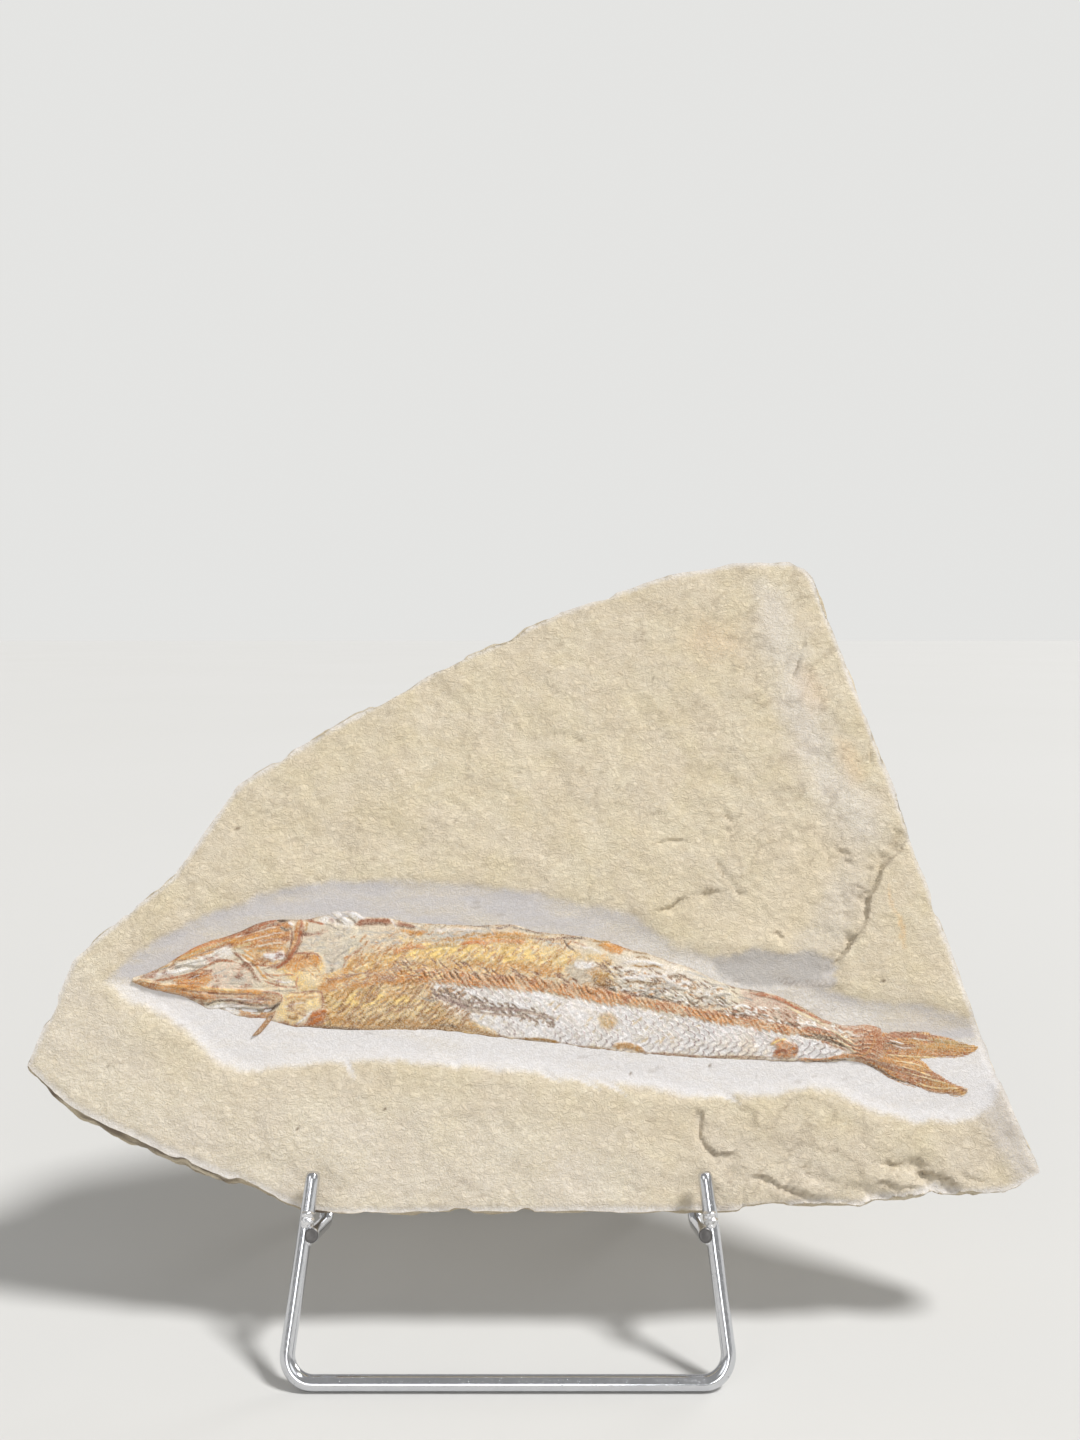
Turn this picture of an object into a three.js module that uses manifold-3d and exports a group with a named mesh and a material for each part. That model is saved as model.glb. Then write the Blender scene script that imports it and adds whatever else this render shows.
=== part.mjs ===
// Fossil fish slab: a thin slab of limestone with one long fish on its face, leaning back on a stand
// that is welded from three bent wires. Units are millimetres, with +Z up and the floor at z = 0.
import * as THREE from "three";
import { mergeVertices } from "three/addons/utils/BufferGeometryUtils.js";
import Module from "manifold-3d";

const wasm = await Module();
wasm.setup();

// ---- driving dimensions ----
const LEAN = 20; // the slab and the front frame lean back from the vertical, degrees
const GAP = 0.3; // clearance between neighbouring solids

const WIRE_RADIUS = 2;
const WIRE_SIDES = 12;
const WIRE_STEP = 3.6; // length of one facet along a wire
const BEND_RADIUS = 7; // centreline radius of a rail's bends
const CRADLE_BEND_RADIUS = 5; // tighter, to clear the slab's back edge

const FRONT_HALF_FOOT = 59.2; // half the distance between the legs at the rail
const FRONT_HALF_TIP = 53.9; // half the distance between the prong tips
const FRONT_LENGTH = 52; // rail to prong tip, along the lean

const SLAB_STANDOFF = 5; // prong centreline to the face of the slab
const SLAB_THICKNESS = 13;
const SLAB_FOOT = 40; // rail centreline to the lowest point of the slab's face, along the lean
const EDGE_BULGE = 1.7; // the broken edge stands this far outside the outline of the face
const EDGE_DEPTH = 3; // depth of the bevel at the front and back edges
const EDGE_ROUGHNESS = 1;
const EDGE_STEP = 9; // spacing of the points along the broken edge
const SLANT = 4; // how far the lower left edge runs out towards the back
const FACE_CELL = 5.6; // cell size of the relief on the face

const SHELF_HALF = 53.3; // half the distance between the shelf wires
const SHELF_NOSE = 2.3; // the cut ends stand this far in front of the prong centreline
const BACKREST_HEIGHT = 72; // shelf to the top bar, along the lean

const REAR_HALF_FOOT = 56;
const REAR_RAIL_Y = 96; // front rail to rear rail
const REAR_WELD_DROP = 9; // the rear leg's ends lie this far below the top bar

// ---- derived sizes ----
const RAD = Math.PI / 180;
const SHELF_HEIGHT = SLAB_FOOT - EDGE_BULGE - GAP - WIRE_RADIUS;
const BACKREST_DEPTH = SLAB_STANDOFF + SLAB_THICKNESS + GAP + WIRE_RADIUS;
const REAR_HALF_TOP = SHELF_HALF - 2 * WIRE_RADIUS - GAP;

const chrome = (name) =>
  new THREE.MeshStandardMaterial({ name, color: 0xc4c6ca, roughness: 0.22, metalness: 1 });
const limestone = new THREE.MeshStandardMaterial({
  name: "limestone",
  color: 0xcbbb98,
  roughness: 0.93,
  metalness: 0,
});

// ---- solids ----
function solidOf(geometry) {
  const bare = geometry.clone();
  bare.deleteAttribute("normal");
  bare.deleteAttribute("uv");
  const merged = mergeVertices(bare, 1e-4);
  return new wasm.Manifold(
    new wasm.Mesh({
      numProp: 3,
      vertProperties: merged.attributes.position.array,
      triVerts: new Uint32Array(merged.index.array),
    }),
  );
}

function geometryOf(solid) {
  const mesh = solid.getMesh();
  const geometry = new THREE.BufferGeometry();
  geometry.setAttribute("position", new THREE.BufferAttribute(mesh.vertProperties, 3));
  geometry.setIndex(new THREE.BufferAttribute(mesh.triVerts, 1));
  const faceted = geometry.toNonIndexed();
  faceted.computeVertexNormals();
  return faceted;
}

// A path through the corners, with an arc at each inner corner.
function bentPath(corners, radius) {
  const path = new THREE.CurvePath();
  let from = corners[0];
  for (let i = 1; i < corners.length - 1; i++) {
    const corner = corners[i];
    const before = corners[i - 1].clone().sub(corner).normalize();
    const after = corners[i + 1].clone().sub(corner).normalize();
    const turn = Math.PI - before.angleTo(after);
    const cut = radius * Math.tan(turn / 2);
    const handle = cut - (4 / 3) * Math.tan(turn / 4) * radius;
    const start = corner.clone().addScaledVector(before, cut);
    const end = corner.clone().addScaledVector(after, cut);
    path.add(new THREE.LineCurve3(from, start));
    path.add(
      new THREE.CubicBezierCurve3(
        start,
        corner.clone().addScaledVector(before, handle),
        corner.clone().addScaledVector(after, handle),
        end,
      ),
    );
    from = end;
  }
  path.add(new THREE.LineCurve3(from, corners[corners.length - 1]));
  return path;
}

// A wire along the path. One facet of its section faces the direction downAngle, in degrees, so that a
// rail can lie flat on the floor.
function wireGeometry(path, downAngle = 0, radius = WIRE_RADIUS) {
  const corner = radius / Math.cos(Math.PI / WIRE_SIDES);
  const phase = downAngle - 180 / WIRE_SIDES;
  const section = new THREE.Shape();
  for (let i = 0; i < WIRE_SIDES; i++) {
    const angle = (phase + (360 * i) / WIRE_SIDES) * RAD;
    const [x, y] = [corner * Math.cos(angle), corner * Math.sin(angle)];
    if (i) section.lineTo(x, y);
    else section.moveTo(x, y);
  }
  return new THREE.ExtrudeGeometry(section, {
    steps: Math.ceil(path.getLength() / WIRE_STEP),
    extrudePath: path,
  });
}

// A U of wire in the XY plane: down one leg, along the rail at y = 0 and up the other leg.
function uPath(halfTop, halfFoot, length) {
  const corners = [
    new THREE.Vector3(-halfTop, length, 0),
    new THREE.Vector3(-halfFoot, 0, 0),
    new THREE.Vector3(halfFoot, 0, 0),
    new THREE.Vector3(halfTop, length, 0),
  ];
  return bentPath(corners, BEND_RADIUS);
}

// ---- the cradle: shelf wires with cut ends at the front, a backrest and its top bar ----
function cradleGeometry() {
  const at = (x, y, z) => new THREE.Vector3(x, y, z);
  const top = SHELF_HEIGHT + BACKREST_HEIGHT;
  const corners = [
    at(-SHELF_HALF, SHELF_HEIGHT, SHELF_NOSE),
    at(-SHELF_HALF, SHELF_HEIGHT, -BACKREST_DEPTH),
    at(-SHELF_HALF, top, -BACKREST_DEPTH),
    at(SHELF_HALF, top, -BACKREST_DEPTH),
    at(SHELF_HALF, SHELF_HEIGHT, -BACKREST_DEPTH),
    at(SHELF_HALF, SHELF_HEIGHT, SHELF_NOSE),
  ];
  return wireGeometry(bentPath(corners, CRADLE_BEND_RADIUS));
}

// ---- the front frame: rail, legs and prongs, pressed in where the shelf wires are welded ----
function frontFrameGeometry() {
  const path = uPath(FRONT_HALF_TIP, FRONT_HALF_FOOT, FRONT_LENGTH);
  let frame = solidOf(wireGeometry(path, LEAN - 90));
  for (const side of [-1, 1]) {
    const seat = new THREE.CylinderGeometry(WIRE_RADIUS + GAP, WIRE_RADIUS + GAP, 30, WIRE_SIDES);
    seat.rotateX(Math.PI / 2);
    seat.translate(side * SHELF_HALF, SHELF_HEIGHT, 0);
    frame = frame.subtract(solidOf(seat));
  }
  return geometryOf(frame);
}

// ---- the slab ----
// Corners of the face, anticlockwise from the lower left tip: x across, y up from its lowest point.
const FACE_CORNERS = [
  [-139.5, 39],
  [-125, 28],
  [-98, 16.5],
  [-72, 7],
  [-58, 1.2],
  [-47, 0],
  [16, 0.4],
  [60, 0.7],
  [88, 2.4],
  [99, 1.9],
  [117, 5.5],
  [134, 5],
  [149.5, 10.5],
  [138, 43],
  [127, 84],
  [118, 119],
  [106.5, 158],
  [97, 190],
  [91.5, 195.6],
  [71, 195.2],
  [50, 191],
  [15, 178.5],
  [-26, 158],
  [-65, 135],
  [-84.5, 121.5],
  [-102, 94],
  [-124, 75],
  [-129.5, 69],
];

// Wanders between -1 and 0.
const waves = (t) =>
  0.25 * Math.sin(t * 0.31 + 1.3) + 0.15 * Math.sin(t * 0.83) + 0.1 * Math.sin(t * 1.9) - 0.5;

// The outline of the face: the corners joined by short steps that wander inwards a little, as a break does.
function faceOutline() {
  const corners = FACE_CORNERS.map(([x, y]) => new THREE.Vector2(x, y));
  const outline = [];
  let travelled = 0;
  corners.forEach((corner, i) => {
    const side = corners[(i + 1) % corners.length].clone().sub(corner);
    const out = new THREE.Vector2(side.y, -side.x).normalize();
    const steps = Math.max(1, Math.round(side.length() / EDGE_STEP));
    for (let k = 0; k < steps; k++) {
      const wander = k === 0 ? 0 : EDGE_ROUGHNESS * waves(travelled + (side.length() * k) / steps);
      const point = corner.clone().addScaledVector(side, k / steps);
      outline.push(point.addScaledVector(out, wander));
    }
    travelled += side.length();
  });
  return new THREE.Shape(outline);
}

const smooth = (low, high, t) => THREE.MathUtils.smoothstep(t, low, high);

// How far the middle of the fish lies above the slab's foot, at x.
const FISH_NOSE = -112;
const FISH_TAIL = 122;
const fishHeight = (x) => 84 - 0.03 * (x - FISH_NOSE) - 0.00033 * (x - FISH_NOSE) ** 2;

// Depth of the face below the plane z = 0: shallow bedding waves, the trench that the fish lies in, the
// low body of the fish, and the hollow where a flake has come off above the tail.
function faceDepth(x, y) {
  const bedding = 0.45 + 0.2 * Math.sin(x * 0.045 + y * 0.02) + 0.15 * Math.sin(y * 0.07 - x * 0.03);
  const along = (x - FISH_NOSE) / (FISH_TAIL - FISH_NOSE);
  const half = 15 * Math.sin(Math.PI * THREE.MathUtils.clamp(along * 0.9 + 0.08, 0, 1)) ** 0.6;
  const across = Math.abs(y - fishHeight(x));
  const inLength = smooth(-0.06, 0.02, along) * (1 - smooth(0.98, 1.06, along));
  const trench = 1.3 * inLength * (1 - smooth(half + 6, half + 12, across));
  const body = 1.2 * inLength * (1 - smooth(half * 0.5, half, across));
  const hollow = 1.1 * Math.exp(-(((x - 78) / 26) ** 2) - ((y - 108) / 16) ** 2);
  return bedding + trench - body + hollow;
}

function slabGeometry() {
  const block = new THREE.ExtrudeGeometry(faceOutline(), {
    depth: SLAB_THICKNESS - 2 * EDGE_DEPTH,
    bevelThickness: EDGE_DEPTH,
    bevelSize: EDGE_BULGE,
    bevelSegments: 2,
  });
  block.translate(0, 0, EDGE_DEPTH - SLAB_THICKNESS);
  // The lower left edge slants: towards the back it runs further out, square to that edge.
  const [tip, foot] = [FACE_CORNERS[0], FACE_CORNERS[4]].map(([x, y]) => new THREE.Vector2(x, y));
  const edge = foot.clone().sub(tip).normalize();
  const position = block.attributes.position;
  for (let i = 0; i < position.count; i++) {
    const from = new THREE.Vector2(position.getX(i), position.getY(i)).sub(tip);
    const inside = Math.abs(from.cross(edge));
    const along = from.dot(edge) / foot.distanceTo(tip);
    const share = (1 - smooth(4, 9, inside)) * smooth(-0.1, 0.1, along) * (1 - smooth(0.7, 0.95, along));
    const push = SLANT * share * smooth(0, SLAB_THICKNESS, -position.getZ(i));
    position.setX(i, position.getX(i) + edge.y * push);
    position.setY(i, position.getY(i) - edge.x * push);
  }

  const [width, height, reach] = [310, 220, 30];
  const relief = new THREE.BoxGeometry(
    width,
    height,
    reach,
    Math.round(width / FACE_CELL),
    Math.round(height / FACE_CELL),
    1,
  );
  relief.translate(5, 97, -reach / 2);
  const face = relief.attributes.position;
  for (let i = 0; i < face.count; i++) {
    if (face.getZ(i) > -1) face.setZ(i, -faceDepth(face.getX(i), face.getY(i)));
  }
  return geometryOf(solidOf(block).intersect(solidOf(relief)));
}

// ---- assembly ----
function piece(name, geometry, material) {
  const mesh = new THREE.Mesh(geometry, material);
  mesh.name = name;
  return mesh;
}

// Everything that leans with the front frame shares one turned group, at the rail's centreline.
const leaning = new THREE.Group();
leaning.position.z = WIRE_RADIUS;
leaning.rotation.x = (90 - LEAN) * RAD;
const slab = piece("slab", slabGeometry(), limestone);
slab.position.set(0, SLAB_FOOT, -SLAB_STANDOFF);
leaning.add(
  slab,
  piece("front_frame", frontFrameGeometry(), chrome("front_frame_chrome")),
  piece("cradle", cradleGeometry(), chrome("cradle_chrome")),
);

// The rear leg stands in its own plane, from the rear rail up to its welds beside the backrest.
leaning.updateMatrixWorld(true);
const weldHeight = SHELF_HEIGHT + BACKREST_HEIGHT - REAR_WELD_DROP;
const weld = leaning.localToWorld(new THREE.Vector3(0, weldHeight, -BACKREST_DEPTH));
const rise = weld.z - WIRE_RADIUS;
const run = REAR_RAIL_Y - weld.y;
const rearTilt = Math.atan2(run, rise) / RAD;
const rearLeg = piece(
  "rear_leg",
  wireGeometry(uPath(REAR_HALF_TOP, REAR_HALF_FOOT, Math.hypot(rise, run)), -90 - rearTilt),
  chrome("rear_leg_chrome"),
);
rearLeg.position.set(0, REAR_RAIL_Y, WIRE_RADIUS);
rearLeg.rotation.x = (90 + rearTilt) * RAD;

// The origin is the middle of the object's footprint box, on the floor.
const fossil = new THREE.Group();
fossil.add(leaning, rearLeg);
fossil.updateMatrixWorld(true);
const middle = new THREE.Box3().setFromObject(fossil, true).getCenter(new THREE.Vector3());
fossil.position.set(-middle.x, -middle.y, 0);

export default fossil;
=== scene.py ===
"""Fossil fish slab: a thin broken slab of limestone with one long fish prepared on its face, leaning
back on a welded stand of chromed wire.

Shapes are worked out in millimetres on the slab's own sheet: x runs along the slab from the middle of
the stand, y runs up the face from its foot, and out stands off the face, towards the viewer. They go
to the frame's metres at the end.
"""

import math

import bpy
import numpy as np
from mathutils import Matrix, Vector


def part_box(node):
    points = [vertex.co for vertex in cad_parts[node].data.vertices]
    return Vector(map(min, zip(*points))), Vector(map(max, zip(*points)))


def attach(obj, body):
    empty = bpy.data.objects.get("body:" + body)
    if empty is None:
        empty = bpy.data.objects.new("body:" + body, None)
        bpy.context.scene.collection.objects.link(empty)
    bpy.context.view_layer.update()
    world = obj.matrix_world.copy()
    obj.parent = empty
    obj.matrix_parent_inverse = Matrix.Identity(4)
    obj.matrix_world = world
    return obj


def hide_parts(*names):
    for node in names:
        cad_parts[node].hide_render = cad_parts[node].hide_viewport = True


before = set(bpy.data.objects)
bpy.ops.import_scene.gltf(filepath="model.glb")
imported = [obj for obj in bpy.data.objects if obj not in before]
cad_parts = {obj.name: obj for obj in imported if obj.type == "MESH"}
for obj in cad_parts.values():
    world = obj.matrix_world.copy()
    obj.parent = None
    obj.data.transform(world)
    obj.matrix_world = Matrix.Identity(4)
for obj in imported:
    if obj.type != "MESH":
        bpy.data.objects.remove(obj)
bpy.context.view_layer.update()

# ---------------------------------------------------------------- sizes, in millimetres
MM = 0.001
LEAN = math.radians(20)
WIRE_RADIUS = 2.0
STANDOFF = 5.0  # prong centreline to the face
SLAB_FOOT = 40.0  # rail centreline to the foot of the face, along the lean
SLAB_THICKNESS = 13.0
EDGE_BULGE = 1.5  # the broken edge stands this far outside the outline of the face, at most
SLANT = 3.6  # how far the lower left edge runs out towards the back

FACE_CELL = 0.74
BACK_CELL = 1.9
EDGE_CELL = 0.9
FISH_GRID = (780, 116)
LOBE_GRID = (170, 60)
SPIKE_GRID = (40, 16)
SUNK = -2.7  # the fish's border goes down into the stone as far as this
TRENCH_FLOOR = -1.9
FISH_EDGE = -1.95  # the fish's relief rises from here
TAIL_HUB = (96, 43.6)  # the fin's rays fan out from it
DENTS = 340
SHARP_STONE = math.radians(38)
SHARP_WIRE = math.radians(40)
GRAIN_LEAN = math.radians(-24)  # of the streaks in the stone

FRONT_HALF_FOOT = 59.2
FRONT_HALF_TIP = 53.9
FRONT_LENGTH = 52.0
RAIL_BEND = 7.0
SHELF_HALF = 53.3
SHELF_HEIGHT = 36.0
SHELF_NOSE = 2.3
BACKREST_DEPTH = 20.3
BACKREST_HEIGHT = 72.0
CRADLE_BEND = 5.0
REAR_HALF_FOOT = 56.0
REAR_HALF_TOP = 49.0
REAR_WELD_DROP = 9.0

front_low, front_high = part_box("front_frame")
_, rear_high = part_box("rear_leg")
STAND_X = (front_low.x + front_high.x) / 2
RAIL_Y = front_low.y + WIRE_RADIUS * MM
REAR_Y = rear_high.y - WIRE_RADIUS * MM
FLOOR_Z = front_low.z


def to_frame(x, y, out):
    """Sheet millimetres to the frame's metres."""
    along = SLAB_FOOT + np.asarray(y, float)
    behind = STANDOFF - np.asarray(out, float)
    across = STAND_X + MM * np.asarray(x, float)
    back = RAIL_Y + MM * (along * math.sin(LEAN) + behind * math.cos(LEAN))
    up = FLOOR_Z + MM * (WIRE_RADIUS + along * math.cos(LEAN) - behind * math.sin(LEAN))
    return np.stack([across, back, up], axis=-1)


# ---------------------------------------------------------------- numbers that wander
def chance(ix, iy, seed):
    """A steady value from 0 to 1 for each pair of whole numbers."""
    n = (ix * 374761393 + iy * 668265263 + seed * 1274126177) & 0xFFFFFFFF
    n = ((n ^ (n >> 13)) * 1103515245) & 0xFFFFFFFF
    return ((n ^ (n >> 16)) & 0xFFFF) / 65535.0


def draws(k, first, seed):
    """Four steady values from 0 to 1 for the k-th mark of a set."""
    return [float(chance(np.int64(k), np.int64(n), seed)) for n in range(first, first + 4)]


def waves(x, y, size, seed):
    """Smooth random waves from -1 to 1."""
    gx, gy = np.asarray(x, float) / size, np.asarray(y, float) / size
    ix, iy = np.floor(gx).astype(np.int64), np.floor(gy).astype(np.int64)
    fx, fy = gx - ix, gy - iy
    fx, fy = fx * fx * (3 - 2 * fx), fy * fy * (3 - 2 * fy)
    low = chance(ix, iy, seed) * (1 - fx) + chance(ix + 1, iy, seed) * fx
    high = chance(ix, iy + 1, seed) * (1 - fx) + chance(ix + 1, iy + 1, seed) * fx
    return 2 * (low * (1 - fy) + high * fy) - 1


def rough(x, y, size, octaves, seed):
    """Waves on waves, each half as large as the last, from about -1 to 1."""
    total = 0
    for k in range(octaves):
        total = total + waves(x, y, size / 2**k, seed + 17 * k) / 2**k
    return total / 1.6


def ramp(low, high, t):
    t = np.clip((t - low) / (high - low), 0, 1)
    return t * t * (3 - 2 * t)


def steps(level, rise):
    """Flat treads a whole number high, joined by short rises, and how far along its tread each point is."""
    part = level - np.floor(level)
    return np.floor(level) + ramp(0, rise, part), part


# ---------------------------------------------------------------- lines and patches on the sheet
def pairs(path):
    """x, y, x, y and so on, as points."""
    return np.reshape(path, (-1, 2))


def smooth_line(points, step=0.7):
    """A Catmull-Rom curve through the points, in short steps."""
    p = np.array(points, float)
    p = np.vstack([2 * p[0] - p[1], p, 2 * p[-1] - p[-2]])
    made = []
    for a, b, c, d in zip(p, p[1:], p[2:], p[3:]):
        t = np.linspace(0, 1, max(2, math.ceil(np.hypot(*(c - b)) / step)), endpoint=False)[:, None]
        bend, twist = 2 * a - 5 * b + 4 * c - d, 3 * b - a - 3 * c + d
        made.append(0.5 * (2 * b + (c - a) * t + bend * t**2 + twist * t**3))
    return np.vstack([*made, p[-2]])


def around(x, y, line, reach):
    """The points in the box round the line, made wider by its reach."""
    low, high = line.min(0) - reach, line.max(0) + reach
    return np.flatnonzero((x > low[0]) & (x < high[0]) & (y > low[1]) & (y < high[1]))


def from_line(x, y, line, reach):
    """The points within reach of the line: indices, distances, shares of its length and sides (left +1)."""
    near = around(x, y, line, reach)
    px, py = x[near], y[near]
    best, share, side = np.full(near.size, 1e9), np.zeros(near.size), np.ones(near.size)
    lengths = np.hypot(*np.diff(line, axis=0).T)
    start = np.concatenate([[0], np.cumsum(lengths)])
    for a, b, length, before in zip(line[:-1], line[1:], lengths, start):
        if length == 0:
            continue
        t = np.clip(((px - a[0]) * (b[0] - a[0]) + (py - a[1]) * (b[1] - a[1])) / length**2, 0, 1)
        gap = np.hypot(px - a[0] - t * (b[0] - a[0]), py - a[1] - t * (b[1] - a[1]))
        closer = gap < best
        best[closer] = gap[closer]
        share[closer] = (before + t[closer] * length) / start[-1]
        left = (b[0] - a[0]) * (py - a[1]) - (b[1] - a[1]) * (px - a[0])
        side[closer] = np.where(left[closer] > 0, 1.0, -1.0)
    kept = best < reach
    return near[kept], best[kept], share[kept], side[kept]


def inside(x, y, corners):
    """Whether each point lies in the polygon."""
    found = np.zeros(x.shape, bool)
    for (ax, ay), (bx, by) in zip(corners, np.roll(corners, -1, axis=0)):
        if ay == by:
            continue
        crosses = (ay > y) != (by > y)
        found ^= crosses & (x < (bx - ax) * (y - ay) / (by - ay) + ax)
    return found


EVERY = slice(None)  # all points of a sheet


class Sheet:
    """Points on the slab's sheet, each with a height and a share of each finish."""

    def __init__(self, x, y, finishes, covers=False):
        self.x, self.y = x, y
        self.covers = covers  # each mark hides the finishes under it
        self.height = np.zeros(x.shape)
        self.finish = {name: np.zeros(x.shape) for name in finishes}
        self.drift_x = 0.5 * rough(x, y, 4.0, 3, 901) + 0.2 * rough(x, y, 1.3, 2, 905)
        self.drift_y = 0.5 * rough(x, y, 4.0, 3, 902) + 0.2 * rough(x, y, 1.3, 2, 906)
        self.speck = rough(x, y, 1.1, 2, 903)

    def lay(self, where, share, finish):
        for name in self.finish if self.covers and finish else finish:
            old = self.finish[name][where]
            self.finish[name][where] = old + (finish.get(name, 0) - old) * share

    def stroke(self, points, width, height=0.0, taper=(0.3, 0.3), broken=0.0, drift=0.5, **finish):
        """A ridge or groove along a smooth line. Its ends thin out over the taper shares of its length."""
        x, y = self.x + drift * self.drift_x, self.y + drift * self.drift_y
        where, gap, share, _ = from_line(x, y, smooth_line(points), width)
        thin = ramp(0, taper[0] + 1e-6, share) * ramp(0, taper[1] + 1e-6, 1 - share)
        half = width / 2 * (0.35 + 0.65 * thin)
        core = 1 - ramp(0.45, 1.0, gap / half)
        core = core * (1 - broken * ramp(-0.3, 0.5, self.speck[where]))
        self.height[where] += height * core * (0.4 + 0.6 * thin)
        self.lay(where, core * (0.5 + 0.5 * thin), finish)

    def ledge(self, points, drop, run, lower=1, **finish):
        """A thin flake's broken lip: the sheet falls on one side of the line and comes back over the run, and
        painted shade lies along the foot of the lip on the fallen side.
        """
        x, y = self.x + self.drift_x + 0.45 * self.speck, self.y + self.drift_y - 0.45 * self.speck
        line = smooth_line(points)
        where, gap, share, side = from_line(x, y, line, run)
        thin = ramp(0, 0.2, share) * ramp(0, 0.2, 1 - share)
        thin = thin * ramp(-1.0, 0.1, waves(self.x[where], self.y[where], 3.5, 907))
        fallen = side * lower > 0
        fall = -ramp(-0.1, 0.5, gap) * (1 - ramp(0.15, 1, gap / run))
        slope = np.where(fallen, fall, 0.15 * (1 - gap / run))
        self.height[where] += drop * thin * slope
        # painted shadow: darkest close under the lip, on the fallen side only
        shade = np.where(fallen, 1 - ramp(0.1, 0.7, gap), 0)
        self.lay(where, shade * thin * ramp(-0.7, 0.5, -self.speck[where]), finish)

    def patch(self, corners, feather=1.0, height=0.0, broken=0.0, drift=1.0, **finish):
        """A filled area with a soft edge."""
        x, y = self.x + drift * self.drift_x, self.y + drift * self.drift_y
        edge = smooth_line([*corners, corners[0]], 1.5)
        near = around(x, y, edge, feather)
        depth = np.where(inside(x[near], y[near], edge), 1.0, -1.0) * feather
        close, gap, _, _ = from_line(x[near], y[near], edge, feather)
        depth[close] = np.sign(depth[close]) * gap
        core = ramp(-feather, feather, depth)
        core = core * (1 - broken * ramp(-0.2, 0.6, self.speck[near]))
        self.height[near] += height * core
        self.lay(near, core, finish)


# ---------------------------------------------------------------- the slab's outline
FACE_CORNERS = pairs([
    -139.5, 39, -125, 28, -98, 16.5, -72, 7, -58, 1.2, -47, 0, 16, 0.4, 60, 0.7, 88, 2.4, 97, 1.9,
    99.4, 1.9, 101.4, 3.4, 110, 4.1, 116, 5.2, 119.4, 6.8, 121, 5.6, 127, 5.1, 139, 5.6, 142.4, 6.8,
    145.4, 8.9, 149.5, 10.5, 138, 43, 127, 84, 118, 119, 106.5, 158, 97, 190, 91.5, 195.6, 71, 195.2,
    50, 191, 15, 178.5, -26, 158, -65, 135, -84.5, 121.5, -102, 94, -124, 75, -129.5, 69,
])
TIP, FOOT = FACE_CORNERS[0], FACE_CORNERS[4]  # the ends of the slanted lower left edge
SLANTED_LENGTH = np.hypot(*(FOOT - TIP))
SLANTED_WAY = (FOOT - TIP) / SLANTED_LENGTH
SLANTED_OUT = np.array([SLANTED_WAY[1], -SLANTED_WAY[0]])


def face_outline():
    """Points along the face's broken edge, and which way is out at each."""
    corners = np.array(FACE_CORNERS, float)
    sides = np.roll(corners, -1, axis=0) - corners
    lengths = np.hypot(*sides.T)
    points, outs, travelled = [], [], []
    for corner, side, length, before in zip(corners, sides, lengths, np.cumsum(lengths) - lengths):
        t = np.arange(0, 1, EDGE_CELL / length)
        points.append(corner + side * t[:, None])
        outs.append(np.tile([side[1] / length, -side[0] / length], (t.size, 1)))
        travelled.append(before + t * length)
    points, outs, travelled = np.vstack(points), np.vstack(outs), np.concatenate(travelled)
    for _ in range(3):  # ease each corner over a few steps
        outs = (np.roll(outs, 1, axis=0) + outs + np.roll(outs, -1, axis=0)) / 3
        points = (np.roll(points, 1, axis=0) + 2 * points + np.roll(points, -1, axis=0)) / 4
    outs /= np.hypot(*outs.T)[:, None]
    nibble = 0.5 * (rough(travelled, travelled * 0, 13.0, 5, 5) - 0.7)
    bite = -0.9 * ramp(0.45, 0.8, waves(travelled, travelled * 0, 9.0, 77))
    return points + outs * np.minimum(nibble + bite, 0)[:, None], outs, travelled


# ---------------------------------------------------------------- the fish's own shape
BACK_LINE = pairs([
    -111.5, 64.2, -105, 66.4, -100, 69.2, -95, 72.4, -90, 74.6, -84, 76.4, -79, 78.6, -74, 80.6, -69, 81.3,
    -62, 81.4, -57, 82.4, -52, 84, -47, 84, -42, 82.4, -36, 81.9, -29, 80.4, -20, 80.2, -10, 79.6, 0, 79.8,
    8, 77.6, 20, 76.6, 28, 75.2, 34, 73, 40, 71.6, 47, 69, 54, 66.6, 60, 63.8, 66, 61.6, 72, 60.5, 78, 59.2,
    84, 56.6, 90, 53, 95, 51, 100, 50.5, 104, 51, 108, 49.5,
])
BELLY_LINE = pairs([
    -111.5, 62.8, -106, 60.9, -100, 59.6, -95, 58.2, -91, 56.4, -88.5, 55, -84, 54.4, -80.5, 53, -77, 52.4,
    -72, 52.2, -69, 51.2, -64, 49.9, -58, 49.8, -52, 49.2, -46, 48.8, -38, 49, -28, 48.9, -19, 48.8,
    -10, 47.7, 0, 46.5, 10, 45.5, 20, 44.2, 30, 43.1, 40, 42.2, 50, 41.5, 60, 41, 70, 40.8, 80, 40.4,
    90, 40.1, 98, 40.6, 103, 39.6, 108, 37.5,
])
SCUTE_LINE = pairs([
    -58, 61, -50, 62.2, -42, 63.6, -32, 64.8, -22, 64.6, -12, 63.8, -2, 63, 8, 62, 18, 60.6, 28, 58.8,
    38, 57.2, 48, 55.4, 58, 53.3, 68, 51.6, 78, 50, 88, 48, 96, 46, 104, 44,
])


def shares_of(words):
    """Finishes and their shares out of words such as "amber 0.9, rust 0.1"."""
    named = (pair.split() for pair in words.split(", "))
    return {name: float(share) for name, share in named}


def height_at(line, x):
    path = smooth_line(line, 1.0)
    return np.interp(x, path[:, 0], path[:, 1])


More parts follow.
